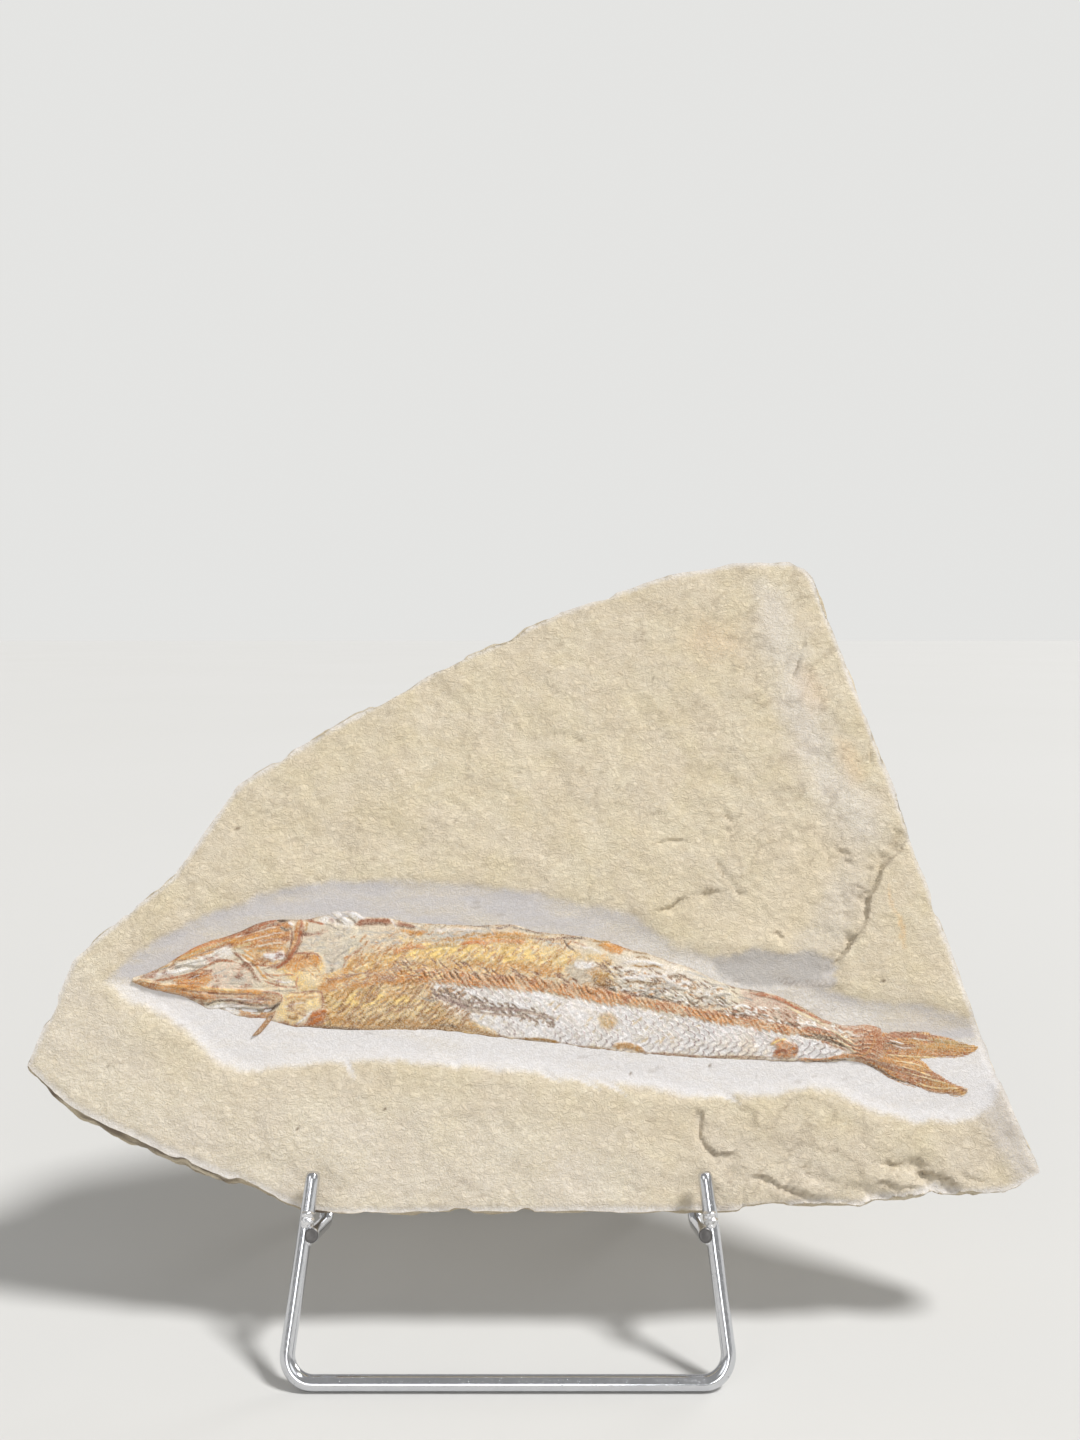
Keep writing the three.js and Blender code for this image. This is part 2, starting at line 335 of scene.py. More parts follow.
# ---------------------------------------------------------------- the slab's face
HALO = pairs([
    -119, 63.5, -110, 72, -100, 78, -90, 82.5, -80, 86.5, -70, 89.5, -60, 91.5, -45, 92.5, -28, 92.5,
    -12, 91, 2, 89.6, 14, 87, 26, 84.5, 36, 81.5, 43, 77, 50, 72.5, 60, 70.6, 72, 71.2, 84, 71, 92, 69.5,
    96, 66, 90, 62.4, 97, 59, 106, 57.4, 118, 56.2, 128, 54, 138, 50, 142, 40, 139, 31, 135, 27, 128, 24.6,
    118, 24.2, 108, 25.8, 100, 29, 93, 32, 86, 33.4, 76, 31.2, 62, 31, 50, 31.4, 40, 33.2, 30, 34.6,
    20, 35.6, 10, 37, 0, 38, -12, 39, -24, 40, -34, 41, -44, 40.4, -52, 40, -64, 39.4, -74, 38, -80, 38.4,
    -86, 42, -92, 46.8, -99, 52, -106, 55.4, -113, 58,
])
SCAR_LIP = pairs([
    120.5, 106, 118, 102, 114.5, 99, 112, 95.8, 110, 92, 108.4, 88.6, 106.8, 85, 106.2, 81.6, 104.8, 78.6,
    102, 75.4, 99.6, 71.8, 96.6, 69.4, 93, 66.8, 89.6, 64.4,
])
SCAR_REST = pairs([
    80, 66, 64, 71, 50, 80, 46, 84, 53, 88.6, 62, 91, 63, 104, 70, 116, 96, 122,
])
LEDGES = [
    # drop, run, the lower side, how dark, then the points of its lip
    (0.55, 5, -1, 0.9, 41, 83.4, 45, 84.2, 47.6, 85, 50, 87, 53, 88, 57, 89, 61, 90, 65, 90.2),
    (0.4, 4, 1, 0.6, 60.4, 99, 62, 96, 63.6, 93, 65.4, 90.8, 67.4, 88.6, 70, 86),
    (0.35, 4, 1, 0.6, 62.8, 115, 64.2, 112.6, 66, 110.2, 68.4, 108.6),
    (0.3, 3, -1, 0.35, 61, 110, 64, 109.4, 67, 107.4),
    (0.45, 5, -1, 0.85, 100.6, 99.6, 104, 98.4, 108, 97, 112, 95.8),
    (0.3, 4, -1, 0.4, 97.6, 104.2, 100.6, 102, 104, 101),
    (0.3, 3, -1, 0.5, 101.6, 91.8, 105, 91.4, 109, 91.2),
    (0.3, 3, 1, 0.5, 105.4, 88.7, 108, 88.1),
    (0.35, 4, 1, 0.5, 116.4, 110, 115.6, 105.4, 113.4, 102, 110, 100),
    (0.4, 3, 1, 0.8, 105.4, 77.4, 103, 76.6, 101.6, 74.6, 100.8, 72.6),
    (0.4, 3, 1, 0.8, 97.4, 69.9, 95, 69, 92.6, 67.6, 91, 65.2),
    (0.35, 3, -1, 0.7, 75.6, 76.6, 77.6, 77.2, 79.6, 78, 80.4, 76.4, 81.6, 75.4),
    (0.3, 3, -1, 0.3, 41, 103.2, 46, 104.6, 52, 105, 57, 103.8),
    (0.3, 2, -1, 0.5, 40.6, 112, 43, 112.8, 45.8, 113.8),
    (0.3, 4, 1, 0.3, 92, 104, 94.4, 101, 95.6, 97),
    (0.3, 3, -1, 0.5, 8, 136.4, 14, 138.6, 19, 137.6, 24, 135.4),
    (0.25, 3, -1, 0.45, 9, 131.6, 13, 130.2, 17, 131.4),
    (0.25, 3, -1, 0.4, 71, 139, 79, 137.4, 84, 138.6, 92, 137.6),
    (0.4, 4, 1, 0.6, 88, 155, 90.5, 161, 92, 166, 95, 169.6),
    (0.25, 3, -1, 0.35, -28, 150.4, -25.4, 148.4, -22.6, 147.4),
    (0.25, 3, -1, 0.35, -2, 125, 4, 126.4, 9, 125.4),
    (0.25, 3, -1, 0.35, 30, 121.6, 36, 120.4, 41, 121),
    (0.3, 3, 1, 0.4, 112, 138, 110, 132, 111, 127),
    (0.5, 6, -1, 0.75, 52.4, 29.4, 54.6, 27, 55, 24, 54.6, 20.4, 56, 18, 58, 16.2, 60, 15.4, 63, 16.6,
     66.4, 18.6),
    (0.45, 5, -1, 0.65, 66, 10.9, 70, 10.3, 73, 9, 76, 7.6, 79, 6.6, 82.6, 6, 86, 4.8, 89, 3),
    (0.3, 3, -1, 0.45, 77, 8.4, 79, 11, 82, 12.8, 85.4, 13.6),
    (0.6, 5, -1, 0.8, 103.4, 13.3, 107, 13.7, 109.4, 13, 111.6, 14.5, 114.6, 14.5, 118, 12.8),
    (0.75, 6, -1, 1, 113, 10.6, 117, 10.8, 120.6, 10.4, 123.4, 8.8, 125.2, 6.8, 126.6, 4.6),
    (0.4, 4, -1, 0.6, 101, 8.4, 106, 8.6, 110, 7.4, 116, 7.6),
    (0.3, 3, -1, 0.4, 126, 11, 130, 9.6, 134, 9.4),
]
PITS = pairs([
    -116, 39.6, -83.5, 108, 109, 63, 57.5, 39, 34.5, 36.8, -35.5, 27.4, -17, 110, 131, 96, 44, 156, -60, 22,
])
STONE_FINISHES = ("ash", "slate", "chalk", "stain", "bare", "ochre")


def bedding(face):
    """Thin flakes of the split face: shallow steps with ragged edges."""
    x, y = face.x, face.y
    face.height += -0.75 + 0.3 * rough(x, y, 70, 2, 11) + 0.05 * rough(x, y, 3.2, 2, 12)
    large, crest = steps(3.2 * rough(x * 0.62, y, 26, 5, 21), 0.22)
    calm = 1 - ramp(40, 75, x) * ramp(-0.6, 0.1, waves(x, y, 40, 31))
    face.height += (0.4 + 0.45 * (1 - calm)) * (large / 3.2 - 0.15)
    lumps = rough(x, y + 0.3 * x, 6.5, 4, 33)
    face.height -= 0.14 * ramp(0.35, 0.75, rough(x * 0.8, y, 3.4, 2, 34))
    # smaller flakes on top of them, with a thin line of painted shade in some of their steps
    rugged = np.clip(0.72 + 0.28 * ramp(85, 125, y) + 0.3 * (1 - calm), 0, 1)
    small, part = steps(2.4 * rough(x * 0.8 + 0.35 * y, y - 0.15 * x, 11, 4, 23), 0.18)
    face.height += rugged * (0.38 * lumps + 0.26 * small)
    crack_shade = ramp(0, 0.06, part) * (1 - ramp(0.1, 0.2, part)) * ramp(0.05, 0.5, waves(x, y, 12, 24))
    face.finish["stain"] += 0.24 * rugged * crack_shade * ramp(-0.5, 0.3, face.speck)
    # painted shade on the rises of the larger steps, where the face is rugged
    face.finish["stain"] += 0.2 * ramp(0.0, 0.05, crest) * (1 - ramp(0.1, 0.2, crest)) * (1 - calm)


def flake_scar(face):
    """The hollow where a flake has come off: deepest at its lip on the right, running out to the left."""
    x, y = face.x, face.y
    lip = smooth_line(SCAR_LIP)
    region = np.vstack([lip, np.array(SCAR_REST, float)])
    in_scar = inside(x + face.drift_x, y + face.drift_y, region)
    where, gap, _, _ = from_line(x + face.drift_x, y + face.drift_y, lip, 60)
    below = in_scar[where]
    where, gap = where[below], gap[below]
    fade = (1 - ramp(6, 52, gap)) * ramp(0, 0.5, gap)
    others = np.vstack([lip[-1], *SCAR_REST, lip[0]])
    soft, rest, _, _ = from_line(x[where] + face.drift_x[where], y[where] + face.drift_y[where], others, 14)
    fade[soft] *= ramp(0, 14, rest)
    px, py = x[where], y[where]
    shelf, _ = steps(3 * rough(px * 0.8 + py * 0.5, py * 1.3 - px * 0.4, 9, 4, 41), 0.3)
    face.height[where] -= 1.8 * fade * (0.8 + 0.35 * shelf / 3)
    face.finish["bare"][where] = 0.8 * fade
    face.ledge(SCAR_LIP[:6], 0.5, 3, -1, stain=0.5)
    face.ledge(SCAR_LIP[8:], 0.5, 3, -1, stain=0.4)
    # painted shade in the shallow groove along the lip
    face.stroke(SCAR_LIP, 0.9, -0.2, taper=(0.05, 0.05), broken=0.5, drift=1.0, stain=0.36)
    # the lip itself has broken into short plates along its low side, with painted shade between them
    wide = 6 + 8 * ramp(78, 86, py) * (1 - ramp(98, 104, py))
    band = ramp(0, 0.5, gap) * (1 - ramp(0.35 * wide, wide, gap)) * ramp(-0.6, 0.1, waves(px, py, 8, 47))
    plates = rough(px * 0.7 + py * 0.7, (py - px) * 0.5, 3.0, 3, 48)
    plates = np.floor(3 * plates) / 3 + 0.5 * (3 * plates - np.floor(3 * plates)) ** 2 / 3
    face.height[where] += 0.95 * band * plates
    crumbled_shade = band * ramp(0.15, 0.5, np.abs(plates)) * ramp(-0.3, 0.4, face.speck[where])
    face.finish["stain"][where] = np.maximum(face.finish["stain"][where], 0.28 * crumbled_shade)
    # fine ridges run out from the lip across the hollow's floor
    spin = np.degrees(np.arctan2(py - 66, px - 96))
    ridge = rough(spin * 0.5, gap * 0.05, 2.2, 3, 43) * ramp(3, 12, gap) * (1 - ramp(30, 50, gap))
    face.height[where] += 0.26 * ridge


def chipped_edge(face):
    """Chips along the lower right edge."""
    x, y = face.x, face.y
    face.patch([(97, -3), (100, 8), (103.4, 13.2), (111.6, 14.6), (118, 12.8), (123.4, 8.8), (126.6, 4.4),
                (124, -3)], 1.4, -0.5, drift=2.0, bare=0.8)
    for middle, wide, high, deep in ((111, 17, 14, 2.0), (84, 17, 11, 1.1), (60, 10, 16, 0.7)):
        crumbs = 1 - ramp(0.4, 1.1, np.hypot((x - middle) / wide, (y - 5) / high))
        plates, part = steps(3.5 * rough(x * 0.7 + 0.3 * face.drift_x, y * 1.3 + 0.35 * x, 7, 4, 45), 0.22)
        face.height += deep * crumbs * (plates / 3.5 - 0.35)
        # painted shade in the crevices between the chipped plates
        face.finish["stain"] += 0.3 * crumbs * (1 - ramp(0.1, 0.24, part)) * ramp(-0.4, 0.4, face.speck)
    face.patch([(66, 10.6), (76, 7.4), (83, 6), (89, 3), (96, 6), (98, -3), (66, -3)], 1.6, -0.25, drift=2.0,
               bare=0.4)


def scraped_trench(face):
    """The smooth trench that was scraped out round the fish, with painted shade greying it above the fish and
    painted light whitening it below.
    """
    x, y = face.x, face.y
    scraped = Sheet(x, y, ("halo", "dust"))
    scraped.patch(HALO, 3.6, 0, drift=1.6, halo=1.0)
    scraped.patch(HALO, 1.3, 0, drift=1.7, dust=1.0)
    halo, dust = scraped.finish["halo"], scraped.finish["dust"]
    fish_middle = height_at(SCUTE_LINE, x) * (x < 104) + 46.5 * (x >= 104)
    middle = np.where(x < -58, 61.5 + 0.0 * x, fish_middle)
    lower = 1 - ramp(-1.0, 2.0, y - middle + 1.2 * waves(x, y, 9, 52))
    smooth_floor = TRENCH_FLOOR + 0.17 * rough(x * 0.35, y, 9, 4, 51)
    face.height = face.height * (1 - halo) + smooth_floor * halo
    streaks = rough(x * 0.22 + 0.1 * y, y, 3.0, 4, 53)
    for name in ("stain", "bare"):
        face.finish[name] *= 1 - dust
    # the scraped ground is paler stone; on it, painted shade greys the half above the fish's middle line and
    # painted light whitens the half below
    face.finish["ash"] = dust * (1 - lower) * np.clip(0.82 + 0.5 * streaks, 0, 1)
    face.finish["chalk"] = dust * lower * np.clip(1.0 + 0.25 * streaks, 0, 1)
    for spike in ([(-47.4, 41), (-46.2, 38.4), (-44.4, 35.8)], [(8, 38.4), (12, 36.4), (15, 34.6)],
                  [(18, 36.4), (23, 34.6), (26, 32.8)], [(25, 36), (30, 33.4), (33, 31.2)],
                  [(60, 32), (64, 30), (66, 29)]):
        face.stroke(spike, 2.2, -0.2, taper=(0.05, 0.6), chalk=0.9)
    # a paler wash close to the fish's back, behind the head
    near, gap, _, _ = from_line(x, y, smooth_line(BACK_LINE), 9)
    pale = (1 - ramp(2, 9, gap)) * ramp(-0.3, 0.5, streaks[near] + 0.2) * ramp(20, 45, x[near])
    face.finish["ash"][near] *= 1 - 0.7 * pale
    face.finish["chalk"][near] = np.maximum(face.finish["chalk"][near], 0.6 * pale * halo[near])


TINTS = [
    # height, feather, drift, finishes, then the patch's corners
    # the first three rows are painted shade on the trench's upper wall, darkest where the scar meets it
    (-0.25, 1, 1.6, "slate 0.9", 60, 69, 66, 71, 72, 72.2, 80, 71.2, 90, 71.2, 95, 69, 92.6, 66.4, 90, 64,
     84, 62.2, 76, 61.6, 70, 61.6, 62, 64),
    (0.1, 0.8, 1.6, "ash 0.8", 80, 64, 84, 62, 91, 61, 96, 62.6, 92, 65),
    (0, 2, 2, "slate 0.4", 20, 82.6, 30, 82, 38, 79, 44, 74.6, 38, 75, 30, 78.6),
    (0, 3.5, 2, "ash 0.62", 133, 31, 137, 16, 143, 9, 154, 8, 150, 30, 144, 50, 137, 50, 139, 40),
    (0, 14, 1, "chalk 0.24", -145, 30, -125, 22, -100, 12, -70, -2, 30, -4, 30, 22, -40, 30, -90, 34,
     -112, 52, -135, 75, -150, 60),
    (0, 6, 3, "chalk 0.4", 78, 188, 86, 182, 93, 160, 98, 138, 106, 122, 112, 108, 104, 104, 94, 118,
     86, 138, 82, 160),
    (0, 4, 3, "ash 0.3, bare 0.4", 90, 68, 99, 74, 104, 84, 108, 95, 103, 100, 96, 94, 91, 84, 84, 74),
    (0, 8, 3, "ash 0.16, bare 0.3", 52, 26, 80, 22, 110, 18, 134, 16, 130, 2, 104, -4, 56, -4),
    (0, 3, 2, "ochre 0.4", 90, 160, 95, 158, 98, 148, 93, 146, 89, 152),
    (0, 3, 2, "ochre 0.4", 101, 136, 105, 134, 108, 124, 104, 122, 101, 128),
    (0, 6, 3, "ochre 0.25", 60, 176, 70, 172, 72, 164, 64, 162, 56, 168),
]


def stone_tints(face):
    """Painted shade in darker grey on the trench's upper wall under the scar and above the back, the greyer
    corners, and a few ochre stains.
    """
    for height, feather, drift, finish, *path in TINTS:
        face.patch(pairs(path), feather, height, drift=drift, **shares_of(finish))
    # short scratches under the scar, with painted shade in their grooves
    for k in range(9):
        left, low = 78 + 1.9 * k, 62.8 - 0.2 * k
        scratch = [(left, 65.4 - 0.2 * k), (left + 2.2, low), (left + 5, 61.4)]
        face.stroke(scratch, 0.9, -0.12, stain=0.3)
    seam = [(112.4, 92), (113.2, 86), (115.6, 80), (116.4, 71)]
    face.stroke(seam, 2.4, -0.1, broken=0.5, drift=1.5, ochre=0.6)


def small_marks(face):
    """Ledges, pits and short dents along the grain, with painted shade in them, then a rim chipped down round
    the face and painted chalk white as a highlight.
    """
    for drop, run, lower, dark, *path in LEDGES:
        face.ledge(pairs(path), 2.1 * drop, 0.65 * run, lower, stain=0.8 * dark)
    # pits and dents: shallow hollows with painted shade in them
    for px, py in PITS:
        face.stroke([(px - 0.5, py), (px, py + 0.1), (px + 0.5, py - 0.1)], 1.0, -0.35, drift=0, stain=0.9)
    for k in range(DENTS):
        a, b, c, d = draws(k, 1, 61)
        px, py, long, fall = -135 + 285 * a, 2 + 192 * b, 1.0 + 3.5 * c, -0.6 + 1.1 * d
        dent = [(px, py), (px + long / 2, py + fall * long / 3), (px + long, py + fall * long / 2)]
        face.stroke(dent, 0.8, -0.12, drift=1.0, stain=0.22)
    # painted highlight: the chipped rim is laid chalk white, as if the broken edge caught the light
    corners = np.array([*FACE_CORNERS, FACE_CORNERS[0]], float)
    rim, gap, _, _ = from_line(face.x + 0.4 * face.drift_x, face.y + 0.4 * face.drift_y, corners, 2.4)
    near = 1 - ramp(0.5, 2.4, gap + 0.4 * face.speck[rim])
    face.height[rim] -= 0.45 * near
    face.lay(rim, 0.85 * near, {"chalk": 0.8, "ash": 0.0})


def face_sheet(x, y):
    """The slab's face: height above the plane of the outline, which is never above it, and finishes."""
    face = Sheet(x, y, STONE_FINISHES)
    face.drift_x *= 1.4
    face.drift_y *= 1.4
    for add in (bedding, flake_scar, chipped_edge, scraped_trench, stone_tints, small_marks):
        add(face)
    face.height = np.minimum(face.height, -0.12)
    return face


# ---------------------------------------------------------------- meshes
def mesh_of(name, points, faces):
    """A mesh object from an array of points and a list of arrays of faces, each of one corner count."""
    mesh = bpy.data.meshes.new(name)
    corners = np.concatenate([f.ravel() for f in faces]).astype(np.int32)
    counts = np.concatenate([np.full(len(f), f.shape[1]) for f in faces])
    starts = (np.cumsum(counts) - counts).astype(np.int32)
    mesh.vertices.add(len(points))
    mesh.vertices.foreach_set("co", np.asarray(points, np.float32).ravel())
    mesh.loops.add(corners.size)
    mesh.loops.foreach_set("vertex_index", corners)
    mesh.polygons.add(counts.size)
    mesh.polygons.foreach_set("loop_start", starts)
    mesh.update(calc_edges=True)
    mesh.validate()
    mesh.polygons.foreach_set("use_smooth", np.full(counts.size, True))
    piece = bpy.data.objects.new(name, mesh)
    bpy.context.scene.collection.objects.link(piece)
    return piece


def grid_faces(rows, columns):
    """Quads over a grid of points, row by row."""
    i = np.arange(rows - 1)[:, None] * columns + np.arange(columns - 1)[None, :]
    return np.stack([i, i + 1, i + 1 + columns, i + columns], axis=-1).reshape(-1, 4)


def border_of(rows, columns):
    """The points round a grid's border, in order."""
    index = np.arange(rows * columns).reshape(rows, columns)
    return np.concatenate([index[0, :-1], index[:-1, -1], index[-1, :0:-1], index[:0:-1, 0]])


def tube_faces(rings, sides):
    """Quads round a run of rings of points."""
    k = np.arange(sides)
    i = np.arange(rings - 1)[:, None] * sides
    nxt = (k + 1) % sides
    return np.stack([i + k, i + nxt, i + sides + nxt, i + sides + k], axis=-1).reshape(-1, 4)


def closed_tube(rings, sides):
    """A tube's quads and the two faces that close its ends."""
    first = np.arange(sides)
    return [tube_faces(rings, sides), first[::-1][None, :], (rings - 1) * sides + first[None, :]]


def points_of(mesh):
    co = np.empty(len(mesh.vertices) * 3, np.float32)
    mesh.vertices.foreach_get("co", co)
    return co.reshape(-1, 3).astype(float)


def move_to_frame(piece):
    placed = to_frame(*points_of(piece.data).T)
    piece.data.vertices.foreach_set("co", placed.astype(np.float32).ravel())
    piece.data.update()


def add_shares(piece, shares):
    """One number per point and finish, which the materials read by name."""
    for name, values in shares.items():
        layer = piece.data.attributes.new(name, "FLOAT", "POINT")
        layer.data.foreach_set("value", np.clip(values, 0, 1).astype(np.float32))


def relief_block(name, across, up, surface, reach):
    """A block with the surface as one broad face, over grid lines; reach is how far it goes the other way."""
    columns, rows = len(across), len(up)
    gx, gy = np.meshgrid(across, up)
    gx, gy = gx.ravel(), gy.ravel()
    top = np.stack([gx, gy, surface(gx, gy)], axis=-1)
    border = border_of(rows, columns)
    base = top[border].copy()
    base[:, 2] = reach
    below = rows * columns + np.arange(border.size)
    following = np.roll(below, -1)
    walls = np.stack([border, below, following, np.roll(border, -1)], axis=-1)
    faces = [grid_faces(rows, columns), walls, below[::-1][None, :]]
    if reach > 0:
        faces = [f[:, ::-1] for f in faces]
    return mesh_of(name, np.vstack([top, base]), faces)


def edge_profile(depth, travelled):
    """How far the broken edge stands out, at a depth below the face: layers that broke unevenly."""
    bulge = EDGE_BULGE * ramp(-0.2, 4.5, depth) - 1.2 * ramp(9.5, SLAB_THICKNESS, depth)
    layer = np.floor(depth / 1.9 + 0.25 * waves(travelled, travelled * 0, 60, 81))
    uneven = 0.75 * (rough(travelled, layer * 31.0, 11, 4, 82) - 0.8) * ramp(0.3, 2.0, depth)
    chips = 0.3 * rough(travelled, depth * 1.5 + 50, 2.6, 2, 83) * ramp(0.3, 2.0, depth)
    return np.minimum(bulge + uneven + chips, EDGE_BULGE)


def edge_prism():
    """The slab's outline carried through its thickness, with a rough broken side."""
    outline, outs, travelled = face_outline()
    along = (outline - TIP) @ SLANTED_WAY / SLANTED_LENGTH
    close = 1 - ramp(3, 8, np.abs((outline - TIP) @ SLANTED_OUT))
    slanted = close * ramp(-0.08, 0.12, along) * (1 - ramp(0.7, 0.95, along))
    depths = np.concatenate([[-1.5, 0.0, 0.5], np.arange(1.1, SLAB_THICKNESS, 0.62), [SLAB_THICKNESS + 1.5]])
    rings = []
    for depth in depths:
        inner = np.full(travelled.size, np.clip(depth, 0, SLAB_THICKNESS))
        spread = edge_profile(inner, travelled)[:, None] * outs
        slant = SLANT * (inner / SLAB_THICKNESS) ** 0.8 * slanted
        slant *= 1 + 0.25 * waves(travelled, inner * 2, 5, 84)
        ring = outline + spread + np.minimum(slant, SLANT)[:, None] * SLANTED_OUT
        rings.append(np.column_stack([ring, np.full(travelled.size, -depth)]))
    faces = closed_tube(len(depths), travelled.size)
    return mesh_of("edge_prism", np.vstack(rings), [f[:, ::-1] for f in faces])


def keep_common(piece, other):
    """Keeps only what lies in both solids."""
    cut = piece.modifiers.new("common", "BOOLEAN")
    cut.operation, cut.solver, cut.object = "INTERSECT", "MANIFOLD", other
    bpy.context.view_layer.update()
    result = bpy.data.meshes.new_from_object(piece.evaluated_get(bpy.context.evaluated_depsgraph_get()))
    piece.modifiers.clear()
    piece.data = result
    bpy.data.objects.remove(other)


def back_surface(x, y):
    """The slab's back: an unworked bedding plane with shallow flakes."""
    large, _ = steps(3 * rough(x * 0.7, y, 34, 5, 91), 0.2)
    small, _ = steps(3 * rough(x * 0.8 + 0.3 * y, y, 13, 4, 93), 0.25)
    relief = 0.9 * (large / 3 + 0.7) + 0.4 * (small / 3 + 0.7) + 0.35 * (rough(x, y, 7, 3, 92) + 1)
    # broad flakes have come off in three layers, each with a ragged edge
    for layer, low in enumerate((-0.1, 0.08, 0.22)):
        relief += 0.75 * ramp(low, low + 0.03, rough(x * 0.6 + 0.2 * y, y, 60, 6, 94) + 0.02 * layer)
    return -SLAB_THICKNESS + 0.15 + np.maximum(relief, 0)


def limestone_slab():
    # the grid is finer over the fish and the flake scar than above them
    across = np.arange(-146, 157, FACE_CELL)
    up = np.concatenate([np.arange(-5, 118, FACE_CELL), np.arange(118, 202, 1.7 * FACE_CELL)])
    slab = relief_block("limestone_slab", across, up, lambda x, y: face_sheet(x, y).height, -30)
    keep_common(slab, edge_prism())
    across, up = np.arange(-155, 162, BACK_CELL), np.arange(-9, 206, BACK_CELL)
    keep_common(slab, relief_block("back_block", across, up, back_surface, 30))
    mesh = slab.data
    co = points_of(mesh)
    face = face_sheet(co[:, 0], co[:, 1])
    normals = np.empty(len(mesh.vertices) * 3, np.float32)
    mesh.vertex_normals.foreach_get("vector", normals)
    facing = normals.reshape(-1, 3)[:, 2]
    on_face = (1 - ramp(0.05, 0.4, np.abs(co[:, 2] - face.height))) * ramp(0.3, 0.7, facing)
    shares = {name: values * on_face for name, values in face.finish.items()}
    shares["broken"] = 1 - on_face
    # brown weathering along the lower left edge, most of it near the tip
    tip = 1 - ramp(-112, -98, co[:, 0]) * (1 - ramp(-0.5, 0.2, waves(co[:, 0], co[:, 1] * 0, 9, 86)))
    low_edge = 1 - ramp(4, 8, np.abs((co[:, :2] - TIP) @ SLANTED_OUT))
    brown = ramp(-0.35, 0.2, rough(co[:, 0], co[:, 2] * 3, 6, 3, 85)) * (0.45 + 0.55 * tip)
    shares["back"] = ramp(0.3, 0.7, -facing)
    shares["weathered"] = shares["broken"] * low_edge * brown * (1 - shares["back"])
    add_shares(slab, shares)
    mesh.polygons.foreach_set("use_smooth", np.full(len(mesh.polygons), True))
    mesh.set_sharp_from_angle(angle=SHARP_STONE)
    move_to_frame(slab)
    return slab


# ---------------------------------------------------------------- the fish's markings
# Each mark: its height, its width or feather, its finishes, then x, y of each point in turn.
FISH_FINISHES = ("ash", "pearl", "gold", "amber", "orange", "rust", "olive", "umber", "plum")

HEAD_PATCHES = [
    (0, 1, "pearl 0.55, ash 0.15", -108, 64.4, -100, 66.4, -93, 69.6, -87, 72.4, -82.6, 73.4, -82.4, 70,
     -88, 68.6, -95, 66, -103, 63.8),
    (0, 1, "pearl 0.4, ash 0.25, amber 0.25", -89.6, 66.4, -84, 68.2, -79, 67.6, -75, 65, -73, 62.8,
     -77, 61.2, -84, 61, -90, 61.4),
    (0.1, 0.9, "amber 0.7, orange 0.25", -99, 62.8, -95, 64.2, -90.4, 65.9, -88.6, 64.4, -89.4, 62,
     -95, 61.2),
    (0.2, 0.6, "amber 0.5, plum 0.15, rust 0.1", -91, 57.2, -89, 59.8, -80, 59.4, -72, 59.9, -68, 59.7,
     -67.4, 57.4, -70, 56, -76, 56.4, -82, 57.4, -87, 57.6),
    (-0.2, 0.5, "pearl 0.6, ash 0.35", -89, 56.4, -80, 56.6, -74, 55.7, -70, 55.4, -71, 54.8, -80, 55,
     -89, 55.2),
    (0, 0.5, "amber 0.6, rust 0.2", -79.6, 52.9, -80, 54.6, -76, 54.4, -70, 54.2, -69, 52.4, -73, 52),
    (-0.1, 0.4, "pearl 0.75, ash 0.2", -88.6, 53.8, -88, 55.2, -80, 54.9, -80.4, 53),
    (0.1, 0.8, "amber 0.72, rust 0.42", -84, 75.2, -78, 77.8, -72, 79.4, -66.5, 80, -65.4, 77, -66, 74,
     -72, 72.6, -80, 72.2, -83, 73),
    (-0.1, 0.8, "gold 0.25, amber 0.4, rust 0.1", -78, 71.6, -72, 73.2, -67, 73.2, -65.6, 70, -68.6, 67.6,
     -73, 67.4, -77, 69.3),
    (0.3, 0.5, "pearl 0.9, ash 0.08", -73.6, 70.6, -71, 71.3, -68, 71.2, -66.5, 70.1, -68, 68.8, -71, 68.9,
     -73.4, 69.4),
    (-0.1, 0.9, "ash 0.7, umber 0.12", -82.6, 63.8, -80.4, 64.9, -78, 64.6, -77.2, 63.5, -79, 62.7,
     -81.6, 62.8),
    (0, 0.8, "pearl 0.45, gold 0.3", -73.6, 62.8, -70, 66, -63, 65.4, -61.5, 61, -67, 59.9, -72, 60.6),
    (0.25, 0.7, "gold 0.62, amber 0.12", -69, 66, -66, 69, -63.4, 71, -57, 70.9, -55, 67.6, -54.2, 64,
     -55.6, 61, -61.6, 60.6, -63, 63.4),
    (0.1, 0.8, "amber 0.75, orange 0.2", -67.4, 66.2, -63.8, 70.4, -58, 70.8, -56, 69, -58.4, 67.4,
     -62, 66.2),
    (0, 0.7, "gold 0.3", -61.4, 66.2, -57, 66.7, -54.6, 65.4, -54.8, 62, -60, 61.8),
    (0.1, 0.7, "ash 0.16", -61, 80, -55, 79.7, -50, 78.7, -45.6, 76, -48.6, 72.6, -53, 71.1, -61.4, 71.1,
     -62.3, 73),
    (0, 1, "gold 0.5", -68.6, 54.4, -67, 58.6, -62, 60.2, -56, 60, -54.6, 55, -60, 54.4, -63, 50.6,
     -67, 51),
    (0.55, 0.5, "orange 1, rust 0.25", -62.4, 50.2, -59.6, 52.6, -56.6, 54.6, -52.4, 55, -51.6, 52.4,
     -52.4, 50.4, -57, 49.9),
]
